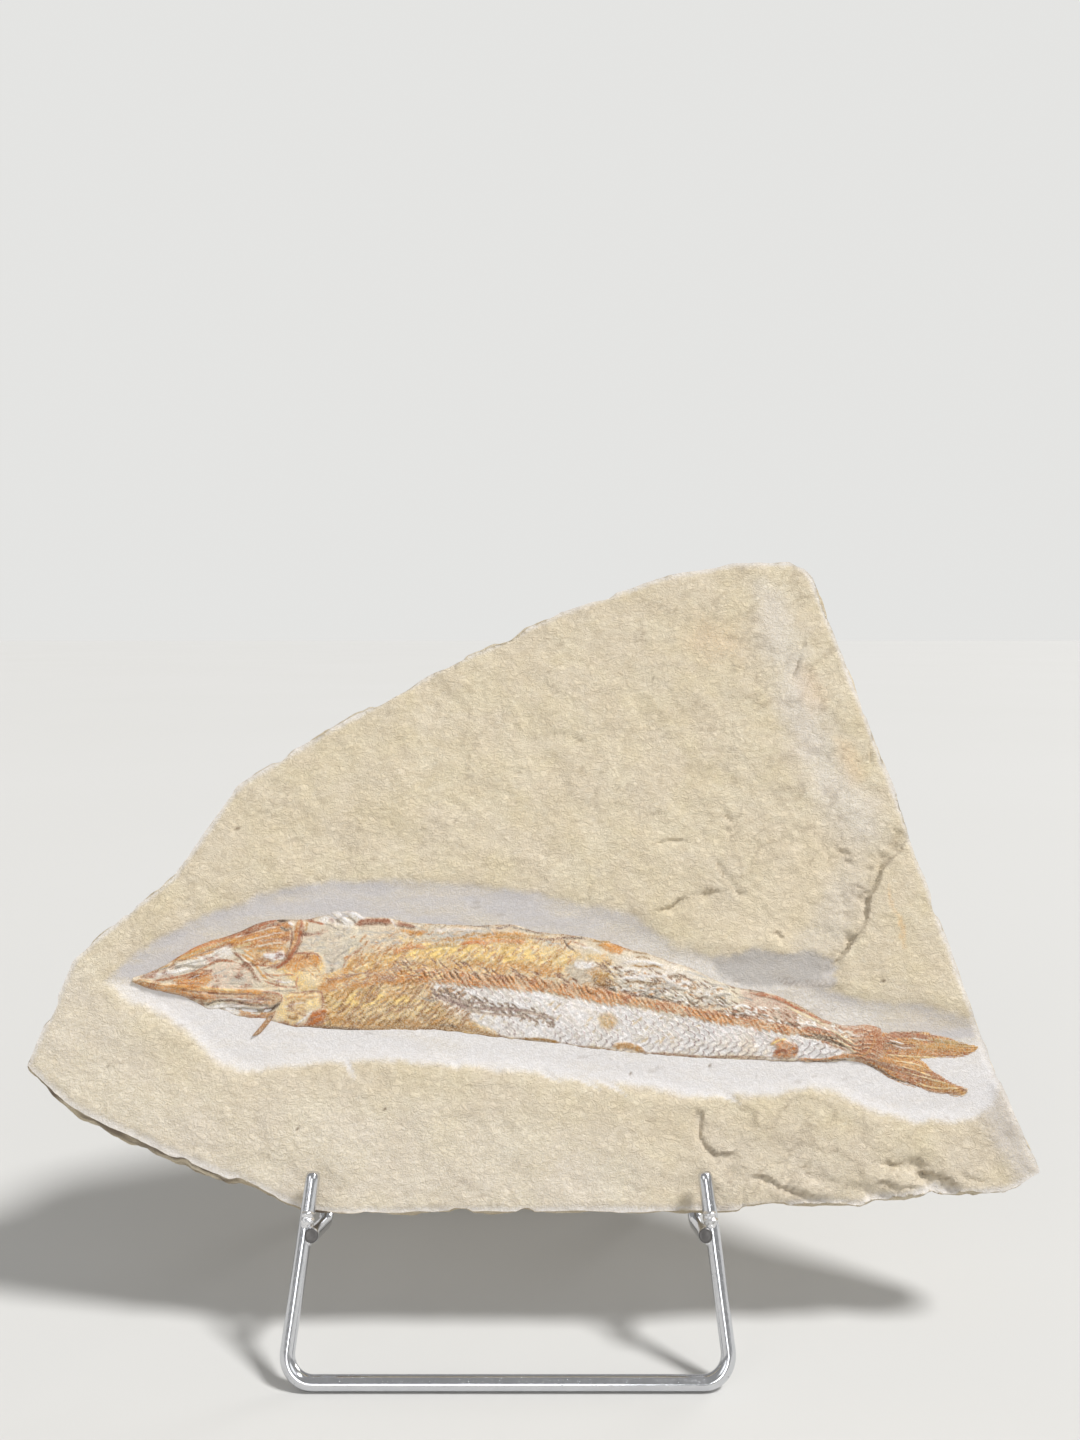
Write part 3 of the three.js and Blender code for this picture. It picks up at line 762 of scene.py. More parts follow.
HEAD_STROKES = [
    (0.4, 4.2, "amber 0.9, rust 0.12", -101, 68.8, -96, 70.8, -90, 73.2, -84, 75, -80, 76.6),
    (-0.1, 0.8, "rust 0.5, umber 0.2", -99, 68.2, -94, 69.8, -89, 71.6, -84.6, 73),
    (0.1, 1.3, "orange 0.8, rust 0.2", -98, 70.6, -93.6, 72.6, -88.6, 74, -85, 75.2),
    (0.1, 1, "olive 0.9", -101, 69.8, -96, 72.3, -90.4, 74.7, -84, 76.2),
    (0, 0.7, "gold 0.4, olive 0.5", -99.6, 69, -95, 70.6, -90, 72.4, -86, 73.6, -82.6, 74.8),
    (0.4, 2.3, "rust 0.9", -85.4, 75.2, -80.4, 77.2, -75, 79.4, -71.4, 80.4, -68.4, 80.7),
    (0, 0.7, "umber 0.35, rust 0.6", -84, 76.1, -79.6, 77.9, -75, 80, -70, 80.9),
    (0.1, 1.1, "amber 0.35, olive 0.4", -112, 64.6, -106, 65.9, -101, 67.4, -97, 69.6),
    (-0.1, 0.6, "umber 0.35, ash 0.4", -109, 65.7, -102.6, 66.5, -98, 68.2),
    (-0.2, 1.1, "umber 0.42, ash 0.55", -100.6, 66.1, -96, 67.4, -92.6, 66.9, -88.6, 67.6, -86.4, 68.4),
    (-0.1, 0.7, "ash 0.9", -96, 67.8, -91, 68.8, -88, 70, -86, 71.7),
    (0.1, 0.8, "amber 0.7", -93, 70.2, -90, 70.8, -87.4, 71.6),
    (0.1, 0.8, "amber 0.7", -97.6, 69.1, -94.6, 69.6, -92, 69.5),
    (0, 0.6, "ash 0.8", -99.4, 64.3, -95.4, 65.6, -92, 66.3),
    (0.1, 1, "rust 0.7, amber 0.25", -105, 63.1, -99, 63.9, -94, 65.1, -90.4, 66.8, -87.6, 68.4, -84, 68.9,
     -80, 68),
    (-0.1, 0.9, "rust 0.5, umber 0.35", -80.4, 68.2, -77.6, 66.8, -75.4, 64.8, -73.8, 63),
    (0.1, 0.9, "orange 0.75", -96.4, 63.2, -92.4, 64.7, -89.8, 65.6),
    (0.1, 0.7, "orange 0.7", -98.4, 62.2, -93, 62.7, -89.4, 62.4),
    (0.1, 0.6, "pearl 0.9", -94.4, 63.6, -91.2, 64.9),
    (0.1, 0.8, "pearl 0.8", -103.6, 65, -98, 65.6, -94, 66.8),
    (0.5, 3.2, "orange 0.3, amber 0.6", -111.4, 63, -106, 61.9, -101, 60.9, -96, 60.2, -91, 59.1,
     -86.6, 58.4),
    (-0.1, 0.7, "umber 0.15, rust 0.5", -109, 61.9, -103, 60.2, -97.4, 58.9, -93, 58, -90.6, 57),
    (0.1, 0.6, "gold 0.3", -109.4, 63.2, -104, 62.4, -99.4, 61.9),
    (0.4, 1.9, "amber 0.85, rust 0.1", -101, 61.6, -95, 61.2, -90, 60.8, -85, 60.4, -80, 60.2, -75, 59.9,
     -69.6, 60),
    (0.1, 0.8, "gold 0.7", -91, 61, -85, 60.8, -79.6, 60.5),
    (-0.1, 0.7, "rust 0.7", -95, 60.2, -88, 59.7, -80, 59.4, -73.6, 59.2),
    (0, 0.6, "rust 0.6", -88.4, 58.6, -82, 58.5, -76, 58.1, -71, 58.5),
    (0.1, 0.7, "pearl 0.6", -86, 57.9, -80, 58, -75, 57.3, -71, 57),
    (-0.1, 0.5, "plum 0.5, umber 0.15", -79, 57.2, -74, 57.9, -70, 57.5),
    (-0.2, 0.8, "umber 0.6, rust 0.2", -91.4, 56.8, -88.6, 56.6, -86, 57.4, -82, 57.6, -78, 56.7, -73, 56.1,
     -69.6, 56),
    (-0.3, 0.8, "umber 0.5, ash 0.4", -89.6, 54.6, -86, 55, -82, 55.2, -78, 55.1),
    (-0.6, 1.3, "umber 1", -80, 55.3, -76, 54.8, -72, 54.6, -69.6, 55.1, -68, 56.3, -67.2, 57.6),
    (0.1, 0.6, "rust 0.7", -78.4, 53.3, -74, 53, -71, 53.7),
    (0.1, 0.6, "pearl 0.6", -76, 54, -73, 53.7),
    (-0.1, 0.8, "umber 0.5, ash 0.3", -80.8, 53.8, -80, 52.8, -78.6, 52.6),
    (0.5, 3.6, "amber 0.75, rust 0.25", -63, 81.2, -63, 78.4, -63.3, 75.4, -64.4, 72.2, -66.4, 69),
    (0, 1.2, "olive 0.5, amber 0.45", -60.9, 80.9, -60.8, 79.2, -61.2, 77.4),
    (0.2, 1.9, "rust 0.95", -62.6, 81, -62.3, 78, -62.6, 75, -63.8, 71.8, -65.6, 69.2, -68, 67.5,
     -71, 66.8),
    (-0.2, 0.7, "umber 0.5, rust 0.4", -61.6, 78.6, -61.9, 75.6, -62.8, 72.6, -64.4, 70),
    (-0.1, 0.7, "rust 0.5, umber 0.3", -66.2, 79, -65, 76.6, -65.2, 73, -66.2, 70.4, -68.4, 67.9, -71, 66.9,
     -74, 66),
    (0.1, 0.7, "pearl 0.4", -82.4, 75.3, -77, 77.1, -72, 78.3, -69, 78.8),
    (0, 0.8, "amber 0.8", -83, 74, -78, 75.2, -73, 77, -68, 78),
    (-0.1, 0.8, "rust 0.7, umber 0.25", -80, 76.3, -75, 77.9, -70.4, 79.2, -67.6, 79.5),
    (0.1, 0.6, "pearl 0.4", -80, 74.3, -75, 75.5, -70, 76.8, -66.4, 77.2),
    (0.1, 0.9, "amber 0.8, rust 0.15", -78.6, 73.5, -74, 74.8, -69, 76, -65.7, 76.3),
    (-0.1, 0.6, "rust 0.6", -76.4, 74.2, -72, 75, -68, 75.2, -65.8, 74.8),
    (0.1, 0.7, "pearl 0.3", -76, 72.9, -71, 73.9, -67, 74.1),
    (0, 1.1, "gold 0.5, olive 0.35", -82.6, 72.4, -79.4, 73.3, -76.6, 74),
    (0, 1.2, "umber 0.95", -70, 80.7, -68.2, 80.5, -66.2, 80.7),
    (-0.1, 1, "umber 0.75", -68.8, 78.7, -67, 77.8, -65.3, 78.1),
    (0.2, 1.1, "pearl 1", -66.6, 80, -65, 79.3),
    (0, 0.7, "umber 0.4, ash 0.3", -72.6, 79.2, -69.4, 79.7),
    (0.1, 0.7, "amber 0.8", -79, 70.9, -75, 72.3, -70, 72.5, -66.6, 71.8),
    (0, 0.6, "amber 0.7", -78, 69, -75.4, 68.3, -73, 67.2),
    (-0.1, 0.6, "olive 0.5, ash 0.4", -75.4, 71.5, -72.4, 71.8, -70.4, 71.4),
    (0, 0.6, "rust 0.7", -75.4, 67.7, -72, 67.4, -69, 67.9, -67, 68.8, -65.8, 70.2),
    (0.2, 1.3, "rust 0.6, umber 0.2", -82.4, 71.6, -80, 70, -78, 68, -76, 66, -75, 64, -73, 62.6),
    (0.1, 1, "amber 0.8", -80.4, 71, -77, 69, -74.6, 66.8, -73, 64.6, -71, 63.2),
    (0.1, 0.5, "pearl 0.3", -80.8, 70.8, -78.4, 69, -76, 66.9),
    (0.1, 0.7, "amber 0.7", -79.4, 72, -76.4, 70, -75, 68.4),
    (-0.1, 1, "umber 0.4, ash 0.3", -80, 64, -78.6, 63.5),
    (-0.1, 1, "ash 0.9", -84.6, 64.7, -83.4, 64.2),
    (-0.1, 0.6, "ash 0.9", -88, 64.8, -86, 65.6, -83.6, 66.6),
    (0, 0.6, "rust 0.45", -83, 66.7, -80, 66.3, -77.6, 66.2, -76, 65),
    (-0.1, 0.5, "umber 0.2, ash 0.6", -84, 62.4, -79, 62.1, -75, 61.9),
    (0.1, 0.8, "orange 0.6", -73.4, 65, -69, 64.5, -66, 64.9, -62.6, 64.9),
    (-0.1, 0.7, "rust 0.65", -73, 63.2, -69, 61.9, -65, 61.3, -61.4, 61.6),
    (-0.1, 0.6, "umber 0.35, ash 0.4", -70.4, 60.5, -66, 60.2, -62.4, 60.4),
    (0, 0.7, "rust 0.65", -73, 66, -71, 64.3, -69.4, 63.6),
    (0.1, 0.8, "pearl 0.9", -69.4, 63.2, -66.6, 62.6, -64, 62.9),
    (0.2, 1, "rust 0.75", -73, 60, -69.6, 59.9, -67.4, 59, -66.9, 57.6, -68.4, 56.3),
    (0, 0.7, "rust 0.8", -63.8, 71.1, -60, 71, -57.4, 70.7, -55.8, 69),
    (0, 0.7, "orange 0.7", -62.2, 64.8, -62.8, 62.4, -62.2, 60.4),
    (0, 0.5, "amber 0.6", -62.4, 69, -60, 66.5, -57.4, 64),
    (0, 0.5, "amber 0.6", -60.4, 69.8, -58, 67.6, -55.6, 65),
    (0.1, 0.9, "rust 0.85", -61.2, 80.5, -58, 80.2, -55.2, 79.6),
    (0, 0.7, "umber 0.35, ash 0.5", -55.6, 79.9, -53, 78.7, -50.8, 77.6),
    (0, 0.8, "rust 0.75", -55.4, 60.2, -54.8, 57.2, -55.4, 55),
    (0.1, 0.8, "amber 0.7", -66.4, 57.4, -63, 58.6, -59, 58.4, -55.8, 58.8),
    (0, 0.6, "rust 0.6", -65.4, 59.6, -62, 59.8, -58, 60.2, -55, 59.8),
    (0.1, 0.7, "pearl 0.6", -66.6, 55.4, -63.4, 56.6, -60, 56.8),
    (0.2, 0.7, "pearl 0.9", -63, 50.4, -60.4, 52.6, -57.4, 54.8),
    (-0.15, 0.7, "rust 0.8", -60.4, 50.8, -57.4, 52.6, -53.4, 54),
    (-0.15, 0.7, "rust 0.8", -58, 50.4, -55.4, 51.4, -52.2, 52.4),
    (-0.1, 0.8, "umber 0.6, orange 0.3", -62, 50.4, -58.4, 50, -54.4, 50.1, -52.4, 50.8),
    (0.1, 1.4, "olive 0.85", -65, 53.2, -63.2, 52.4, -62, 53),
    (-0.1, 1.2, "ash 0.7, umber 0.1", -67, 50.9, -65.4, 50.6, -63.8, 50.4),
]

BODY_PATCHES = [
    (-0.2, 0.8, "pearl 0.5, ash 0.35", -57, 81.2, -55, 83.6, -50, 84.6, -45, 84.4, -39, 82.4, -44, 80.8,
     -48, 79, -53, 79.6),
    (0, 1.2, "ash 0.42", -55.6, 70.6, -50, 73.4, -47, 74.8, -45.6, 72, -48.6, 69.6, -49.6, 66, -54.4, 65.4),
    (0, 1, "ash 0.3", -27, 79.6, -16, 80.4, -4, 79.2, -5, 76.6, -13, 75.8, -25, 75.2),
    (0, 0.8, "gold 0.62, amber 0.16", -49, 66.5, -47, 70, -43, 71, -37, 70.8, -33, 73, -29, 74, -24, 73.4,
     -18, 74.3, -12, 75.3, -4, 76.6, 3, 77, 6, 75.4, 9, 73.4, 14, 72.4, 20, 71.2, 17.4, 68.4, 16, 66,
     12, 64.4, 4, 64.8, -6, 66, -16, 66, -26, 65.8, -34, 65.4, -44, 63.2, -50, 63, -54, 60.8, -55, 64),
    (0, 1, "amber 0.62, gold 0.2", -49.6, 66, -46.4, 69.8, -42, 70.6, -36, 70, -33.4, 67, -40, 65,
     -48, 64.6),
    (0, 0.9, "amber 0.75, rust 0.16", -55.4, 62.6, -50, 64.4, -42, 65, -34, 66, -26, 65.9, -24.6, 62.2,
     -34, 61.9, -40, 60.5, -50, 59.5, -56, 59.3),
    (0, 1.2, "gold 0.45", 6, 73, 12, 71.6, 19, 70.4, 16, 68.9, 8, 69.2, 2, 70, -6, 70.8, -14, 71, -23, 71,
     -24, 72, -14, 72.6, -4, 73),
    (0, 1.2, "amber 0.5, gold 0.35", -33, 68, -24, 69, -12, 69.6, 0, 69, 12, 67.4, 15, 66, 10, 64.8,
     0, 65.2, -12, 66.2, -26, 66.2),
    (0.1, 0.6, "pearl 0.7, plum 0.08", -33.6, 68.5, -31, 70, -26.4, 70.3, -24.8, 69.3, -28, 68.4,
     -31, 68.1),
    (0.2, 0.6, "amber 0.85, olive 0.1", 25.6, 73.8, 30, 74.3, 33, 73.5, 34.4, 72.2, 31, 70.8, 28.6, 71.2),
    (-0.1, 1, "ash 0.5, olive 0.14", 16.4, 66.6, 18.6, 69, 24, 69, 26.6, 67, 25, 64.6, 22.4, 62, 18.4, 62.4,
     15.6, 64.6),
    (0.15, 0.6, "pearl 0.9", 18.6, 68.3, 21.4, 69.1, 25.8, 68.2, 24.6, 66.8, 20, 66.6),
    (0, 1, "gold 0.5", 17.4, 70.4, 24, 71, 28.6, 69.4, 29.4, 66.2, 27.2, 66, 24.4, 69),
    (0.1, 0.7, "olive 0.6, amber 0.32", 23.8, 65.4, 28, 65.9, 30.5, 63.8, 30.8, 61.2, 27, 60.6, 24.2, 62.4),
    (0, 1.5, "pearl 0.3, ash 0.12", 31, 70.4, 40, 69.6, 46, 68.2, 54, 65.6, 62, 61.6, 64, 58, 56, 57,
     46, 58.6, 36, 60.4, 31, 62),
    (-0.15, 0.7, "ash 0.9", 36, 60.2, 39.6, 60.9, 44, 60.9, 46.4, 60, 44, 58.9, 39, 58.9),
    (-0.2, 0.7, "ash 0.95", 55.6, 57.4, 59, 58, 62.6, 57, 63, 55.6, 58.6, 55.2),
    (0, 0.9, "pearl 0.98", -24.4, 62, -10, 61.6, 0, 60.8, 10, 59.4, 20, 58, 32, 56, 44, 54.2, 56, 52,
     66, 50.4, 80, 48.4, 92, 46, 100, 43, 92, 41, 76, 41.4, 60, 42, 40, 43, 20, 45, 0, 47, -8, 49,
     -15, 51.6, -22, 57),
    (0, 1, "gold 0.25, amber 0.22", 25.6, 53, 28, 54.3, 31, 52.6, 29.6, 50, 26.4, 50.4),
    (0, 0.9, "gold 0.72, olive 0.06", -55.4, 60, -46, 60.4, -36, 61.6, -24, 61.6, -22, 57, -16.6, 52.5,
     -6, 49.8, -4, 47.4, -20, 48.6, -40, 48.6, -52, 49.4, -53, 54),
    (0, 1.6, "gold 0.3, pearl 0.25", -38, 61, -25, 61.2, -23, 57.4, -29, 55.4, -36, 57.4),
    (0, 1.4, "amber 0.5, gold 0.35, olive 0.06", -54, 53, -44, 53, -34, 53.4, -22, 52, -12, 50.4, -5, 48.6,
     -18, 48.8, -40, 48.8, -54, 49.2),
    (0, 1.4, "rust 0.36, pearl 0.24", 67, 60.4, 75, 59.4, 84, 56, 92, 51.4, 101, 50.6, 101, 43.4, 96, 43.4,
     88, 47, 78, 50, 68, 52.6),
    (0.25, 0.6, "orange 0.75, amber 0.2", 75.4, 45.4, 76.6, 47.2, 79, 47, 82.4, 45.4, 83, 42.8, 80, 41,
     76, 42.2, 77, 43.8),
    (0.15, 0.5, "pearl 1", 82.9, 43.6, 83.8, 46.6, 89, 46.3, 95, 44.2, 94.6, 42.4, 90, 41.7, 83.6, 42),
    (0.35, 2, "rust 0.5, amber 0.4, orange 0.1", 99.6, 43.6, 101.6, 48, 104, 50.5, 106.6, 50, 108.4, 47.4,
     107.6, 43.6, 104, 40.6, 100.4, 40.8),
]
BODY_STROKES = [
    (-0.2, 1, "umber 0.55, ash 0.4", -56, 83.4, -53.6, 82.1, -51.6, 80.4, -49.6, 79.4),
    (0.3, 1.1, "pearl 1", -55, 83.6, -52, 82.7, -50, 81.4, -48.6, 80.2),
    (-0.2, 0.9, "umber 0.55, ash 0.4", -51, 82.8, -48.4, 81.5, -46, 80),
    (0.3, 1, "pearl 1", -49.6, 83.4, -46.4, 82.2, -43.6, 80.9),
    (-0.2, 0.8, "umber 0.6, ash 0.4", -48, 84, -45, 82.9, -42, 81.9),
    (0, 0.8, "ash 1", -44.4, 83.8, -41, 83, -38.6, 82),
    (0.3, 2.5, "rust 0.95, umber 0.3", -46.4, 79.5, -43, 80.2, -39, 80.3, -35.2, 80.1),
    (0, 0.9, "umber 0.5, rust 0.5", -45, 79.4, -40.6, 79.8, -36, 79.3),
    (0, 0.9, "pearl 0.7, plum 0.2", -36, 80.8, -34.8, 79.6, -34.4, 78.6),
    (0.3, 1.9, "rust 0.8, umber 0.3", -34.8, 79.7, -32, 79.4, -28.6, 78.4),
    (-0.1, 0.7, "umber 0.6, rust 0.3", -33, 78.9, -30, 78.4, -28.4, 78.9),
    (0, 0.7, "rust 0.7", -34.4, 80.9, -31, 80.8, -28.6, 80),
    (0.1, 1.6, "amber 0.85", -33, 77.9, -29.4, 77, -26, 76.6),
    (0, 0.9, "amber 0.6, rust 0.3", -30.6, 76.2, -27, 77.4, -24.8, 77),
    (0, 1.2, "gold 0.4", -33.6, 75.8, -31.6, 74.8, -29, 75.2),
    (0, 0.6, "ash 0.9", -44, 77.5, -39, 77, -34.6, 77.6),
    (0, 0.6, "ash 0.8", -43, 75.4, -38, 74.6, -34, 75.4),
    (0, 0.6, "umber 0.3, ash 0.4", -48.4, 73, -45.4, 73.5, -43, 73),
    (-0.2, 1.6, "umber 0.7, ash 0.3", -53.2, 66.3, -52.2, 66),
    (-0.1, 0.7, "umber 0.35, ash 0.5", -53, 68, -51, 70, -47.4, 72.4),
    (-0.1, 0.8, "ash 1", -54.6, 69, -52.6, 68, -50.4, 68.4),
    (0.1, 0.8, "rust 0.65", -49.8, 66.2, -48.2, 69.4, -46, 71.2, -44.4, 72.5, -43.4, 73.5),
    (0.2, 1.7, "orange 0.5, amber 0.45", -35.4, 70.6, -31.4, 72.3, -28, 73, -24.6, 72.2),
    (0.1, 1.5, "gold 0.35, olive 0.55", -25, 72.4, -20, 73.5, -15, 73.3),
    (0.2, 1.5, "orange 0.85", -15.6, 73.7, -11, 74.2, -6, 73.8),
    (0.1, 1.5, "amber 0.45, orange 0.45", -7, 74.4, -1, 74.7, 4.8, 74.2),
    (0, 0.9, "olive 0.4, gold 0.5", -6, 73.4, -1, 73.6, 3, 73.2),
    (0.1, 1, "amber 0.8", -15, 75.2, -8, 75.2, -3, 76.2, 2, 76.9, 5.4, 76),
    (-0.1, 0.7, "umber 0.5, ash 0.4", -16.4, 80.1, -12, 79.3, -9, 79, -5.6, 78.4),
    (-0.1, 0.9, "umber 0.4, plum 0.5", -5.6, 78.7, -3, 78.4, -1, 79.2, -0.2, 80),
    (-0.1, 0.9, "umber 0.45, ash 0.5", -0.4, 79, 4, 77.8, 9.4, 76.8),
    (0.1, 1.3, "pearl 0.5, plum 0.15", -24, 77.6, -16, 78.1, -10, 77.4),
    (0, 0.7, "ash 1", -24, 76.6, -17, 76.2, -11, 77.6, -6, 77),
    (-0.1, 0.7, "ash 0.9, umber 0.1", -8, 79, -6.2, 77.4, -5, 76),
    (0.1, 0.9, "umber 0.4, rust 0.5", 5, 75.5, 9, 75.2, 13, 75.1, 16, 75.6, 20, 75.4, 23, 75),
    (0, 0.8, "umber 0.8", 15, 75.6, 18, 75.2, 21.4, 75.6),
    (0, 0.7, "ash 0.9", 10, 74.8, 12, 74, 15, 73.5),
    (-0.2, 0.7, "umber 0.65, rust 0.2", 15.4, 75.2, 16.6, 73.2, 18.8, 71.6),
    (0, 0.8, "rust 0.45", 17, 74.6, 20, 73.9, 23, 72.6),
    (0.1, 0.9, "pearl 0.5", 20, 73, 24, 72.6, 27, 70.6),
    (0.1, 0.9, "olive 0.8", 22.6, 75, 27, 74.5, 31, 74.1, 34, 72.8),
    (0, 0.8, "olive 0.6, umber 0.3", 34, 71.9, 37, 71.2, 40.6, 70.8),
    (-0.1, 1, "umber 0.5, rust 0.4", 26.6, 68.4, 28, 66.7, 29.6, 65),
    (0, 1.1, "umber 0.6, olive 0.3", 25.4, 64.2, 24.2, 62.8),
    (-0.1, 1, "umber 0.7", 28.4, 60.7, 30.8, 60.6),
    (0, 1, "gold 0.5, olive 0.3", 25.4, 65.2, 28.6, 65, 30.2, 63),
    (0.2, 1.3, "pearl 0.9", 31, 64, 36, 64, 41, 64.5, 45, 64.3),
    (0.2, 1, "pearl 0.8", 33, 68.4, 38, 68.8, 42, 68.3, 45.4, 67.4),
    (0.2, 1.4, "pearl 0.6", 46, 62.6, 49, 62.2, 52.4, 63.2),
    (0.1, 1, "pearl 0.5", 31, 66.4, 35, 66.4, 39, 65.8),
    (-0.1, 1, "olive 0.55, umber 0.35", 32.6, 62.3, 37, 62.8, 41, 62.3, 44, 62.4),
    (-0.1, 0.9, "olive 0.7", 35, 67.6, 38, 67.2, 42, 67.5, 45, 66.4),
    (0, 0.7, "olive 0.55, umber 0.2", 36, 69.8, 39, 70, 41.4, 69.3),
    (-0.1, 0.8, "ash 0.6, umber 0.35", 31, 65.4, 33, 65.5),
    (-0.2, 0.8, "umber 0.65, ash 0.3", 38, 58.8, 40.6, 58.3, 43, 58, 45, 57.5),
    (-0.1, 1.1, "umber 0.6", 47.6, 64.6, 49.6, 64.2),
    (-0.1, 0.7, "umber 0.45, ash 0.3", 47, 61, 49, 60.7, 51.4, 60.2),
    (-0.2, 0.7, "umber 0.6, rust 0.1", 50, 59.6, 51.6, 58.2, 53, 56.3, 54.6, 57.2, 56, 58.6, 58.4, 57.8),
    (-0.2, 0.7, "umber 0.6", 59, 58.6, 61.6, 58, 63.4, 56.5, 65.4, 57),
    (-0.1, 0.7, "umber 0.5", 44.2, 59.6, 45.6, 58, 47.4, 57.4),
    (0, 0.8, "ash 1", 51, 66, 55, 64.9, 58, 63.8),
    (0, 0.9, "ash 0.8, umber 0.1", 57, 62.6, 60, 62, 64.4, 61.3),
    (0, 0.9, "umber 0.5, rust 0.3", 69.4, 60.4, 72.4, 60.1, 75, 59.4),
    (0.35, 1.6, "rust 0.85", 70, 59.6, 75, 59, 79, 57.7, 83, 55.8, 87, 53.9, 90, 52.2, 93, 50.8),
    (0.1, 0.7, "olive 0.55, umber 0.25", 80, 57.8, 84, 56, 88, 53.9, 92, 51.4),
    (0.2, 1.1, "gold 0.25", 80, 56.2, 84, 54.2, 88, 52.3, 92, 50.2),
    (0.1, 1, "pearl 0.9", 65, 55.6, 67.6, 56.4, 70, 55.2),
    (-0.1, 0.7, "ash 0.8, umber 0.2", 66, 58.6, 69, 58.2, 71, 57.4),
    (-0.1, 0.7, "umber 0.6", 72.4, 53.6, 74, 53.1),
    (-0.1, 0.7, "umber 0.6", 76, 52.9, 77.6, 52.1),
    (-0.1, 0.7, "umber 0.5", 77.6, 54.4, 78.8, 53.6),
    (-0.1, 0.7, "umber 0.5", 80.4, 51.2, 81.8, 50.6),
    (-0.1, 1.3, "plum 0.75, umber 0.22", -23.6, 61, -22, 59.6, -20.4, 58, -17, 57.3, -14, 56, -10, 55.3,
     -5, 55.2, 0, 55, 4, 54.6, 7.4, 53.6, 10.6, 52.3),
    (-0.1, 0.9, "plum 0.6, umber 0.1", -20, 58.8, -15.6, 57.8, -11, 56.9, -6, 56.8),
    (-0.1, 0.9, "plum 0.6, umber 0.1", -13, 54.8, -8, 54, -3, 53.5, 3, 53.2, 8.6, 51.9),
    (0, 0.8, "plum 0.5", 3, 54.2, 8, 53.6, 13.4, 52.6),
    (-0.1, 0.9, "umber 0.3, ash 0.6", -26.4, 58.6, -24, 57.6, -21.6, 57.6),
    (0, 1.5, "amber 0.4, olive 0.35, umber 0.2", -66, 50, -60, 50.1, -52, 49.9, -44, 49.5, -36, 49.9,
     -26, 49.7, -18, 50.2, -10, 49, -4, 47.5, 3, 46.6),
    (0, 1, "umber 0.55, olive 0.3", -21, 50.6, -18, 50.7, -15.6, 50.2),
    (0, 0.9, "umber 0.5, olive 0.4", -53, 50, -48, 49.6, -44, 49.6),
    (0.1, 1.2, "olive 0.9", 2.6, 46.5, 8, 46.7, 14.4, 45.8),
    (0.3, 2.3, "amber 0.6, olive 0.4", 29.6, 44.6, 33, 44.9, 36, 44.3, 38.6, 43.2),
    (0, 0.8, "umber 0.3, amber 0.35, ash 0.2", 14, 45.4, 22, 44.5, 30, 43.6),
    (0.1, 1, "rust 0.45, umber 0.3", 38, 43.1, 46, 42.4, 56, 41.8, 66, 41.6, 76, 41.8),
    (0.1, 1.6, "rust 0.95", 76, 43, 78.6, 43.5, 80, 43),
    (0, 1.2, "rust 0.7, umber 0.2", 80.8, 43.2, 82.6, 43.4, 82.4, 45.6),
    (0.1, 0.9, "gold 0.85", 75, 45, 77.4, 46.4, 80, 46.9),
    (-0.3, 1.2, "umber 0.65, rust 0.2", 83.6, 47.6, 87, 47, 90.6, 46.6, 94, 45.6, 97, 44.4),
    (0, 0.7, "rust 0.6", 90.6, 46, 94, 44.8, 97.4, 43.2),
    (0.2, 1.5, "orange 0.6, amber 0.35", 82.6, 41.4, 86, 41, 90, 40.9, 94, 41.6, 97, 42.2, 100.6, 42),
    (0, 0.7, "umber 0.6, orange 0.2", 84.6, 41, 88, 40.7, 93, 41, 98, 41.2),
    (0.1, 1.5, "rust 0.75", 84, 50, 88, 49.4, 92, 48.6, 96, 48),
    (0.1, 0.9, "pearl 0.6", 83, 51.4, 86, 50.8, 88.6, 50.4),
    (-0.2, 1, "umber 0.55, rust 0.3", 86, 48.2, 90, 47.4, 95, 46.6, 98.4, 45),
    (0.2, 0.8, "gold 0.2", 92.6, 49.4, 96, 47.3, 99.4, 45.4),
    (0.2, 0.8, "gold 0.2", 94.4, 46.8, 97.6, 44.4, 99.6, 43),
    (0, 0.6, "rust 0.7", 93.4, 48.3, 96.6, 46.1, 99.4, 44.2),
    (0, 0.7, "umber 0.35, ash 0.4", 92.6, 50.8, 97, 51, 101.6, 50.6),
    (0.2, 0.9, "pearl 0.6", 97, 49, 100, 47.6, 102.4, 48),
    (0, 0.7, "rust 0.6", 96, 49.9, 100, 49.2, 102.8, 49.8),
    (-0.1, 0.7, "umber 0.3, rust 0.5", 101.4, 43.6, 102, 46.8, 104.2, 49.2),
    (0.1, 0.9, "amber 0.8", 100, 41.8, 103, 43, 105, 45.4, 105.6, 47.4),
]
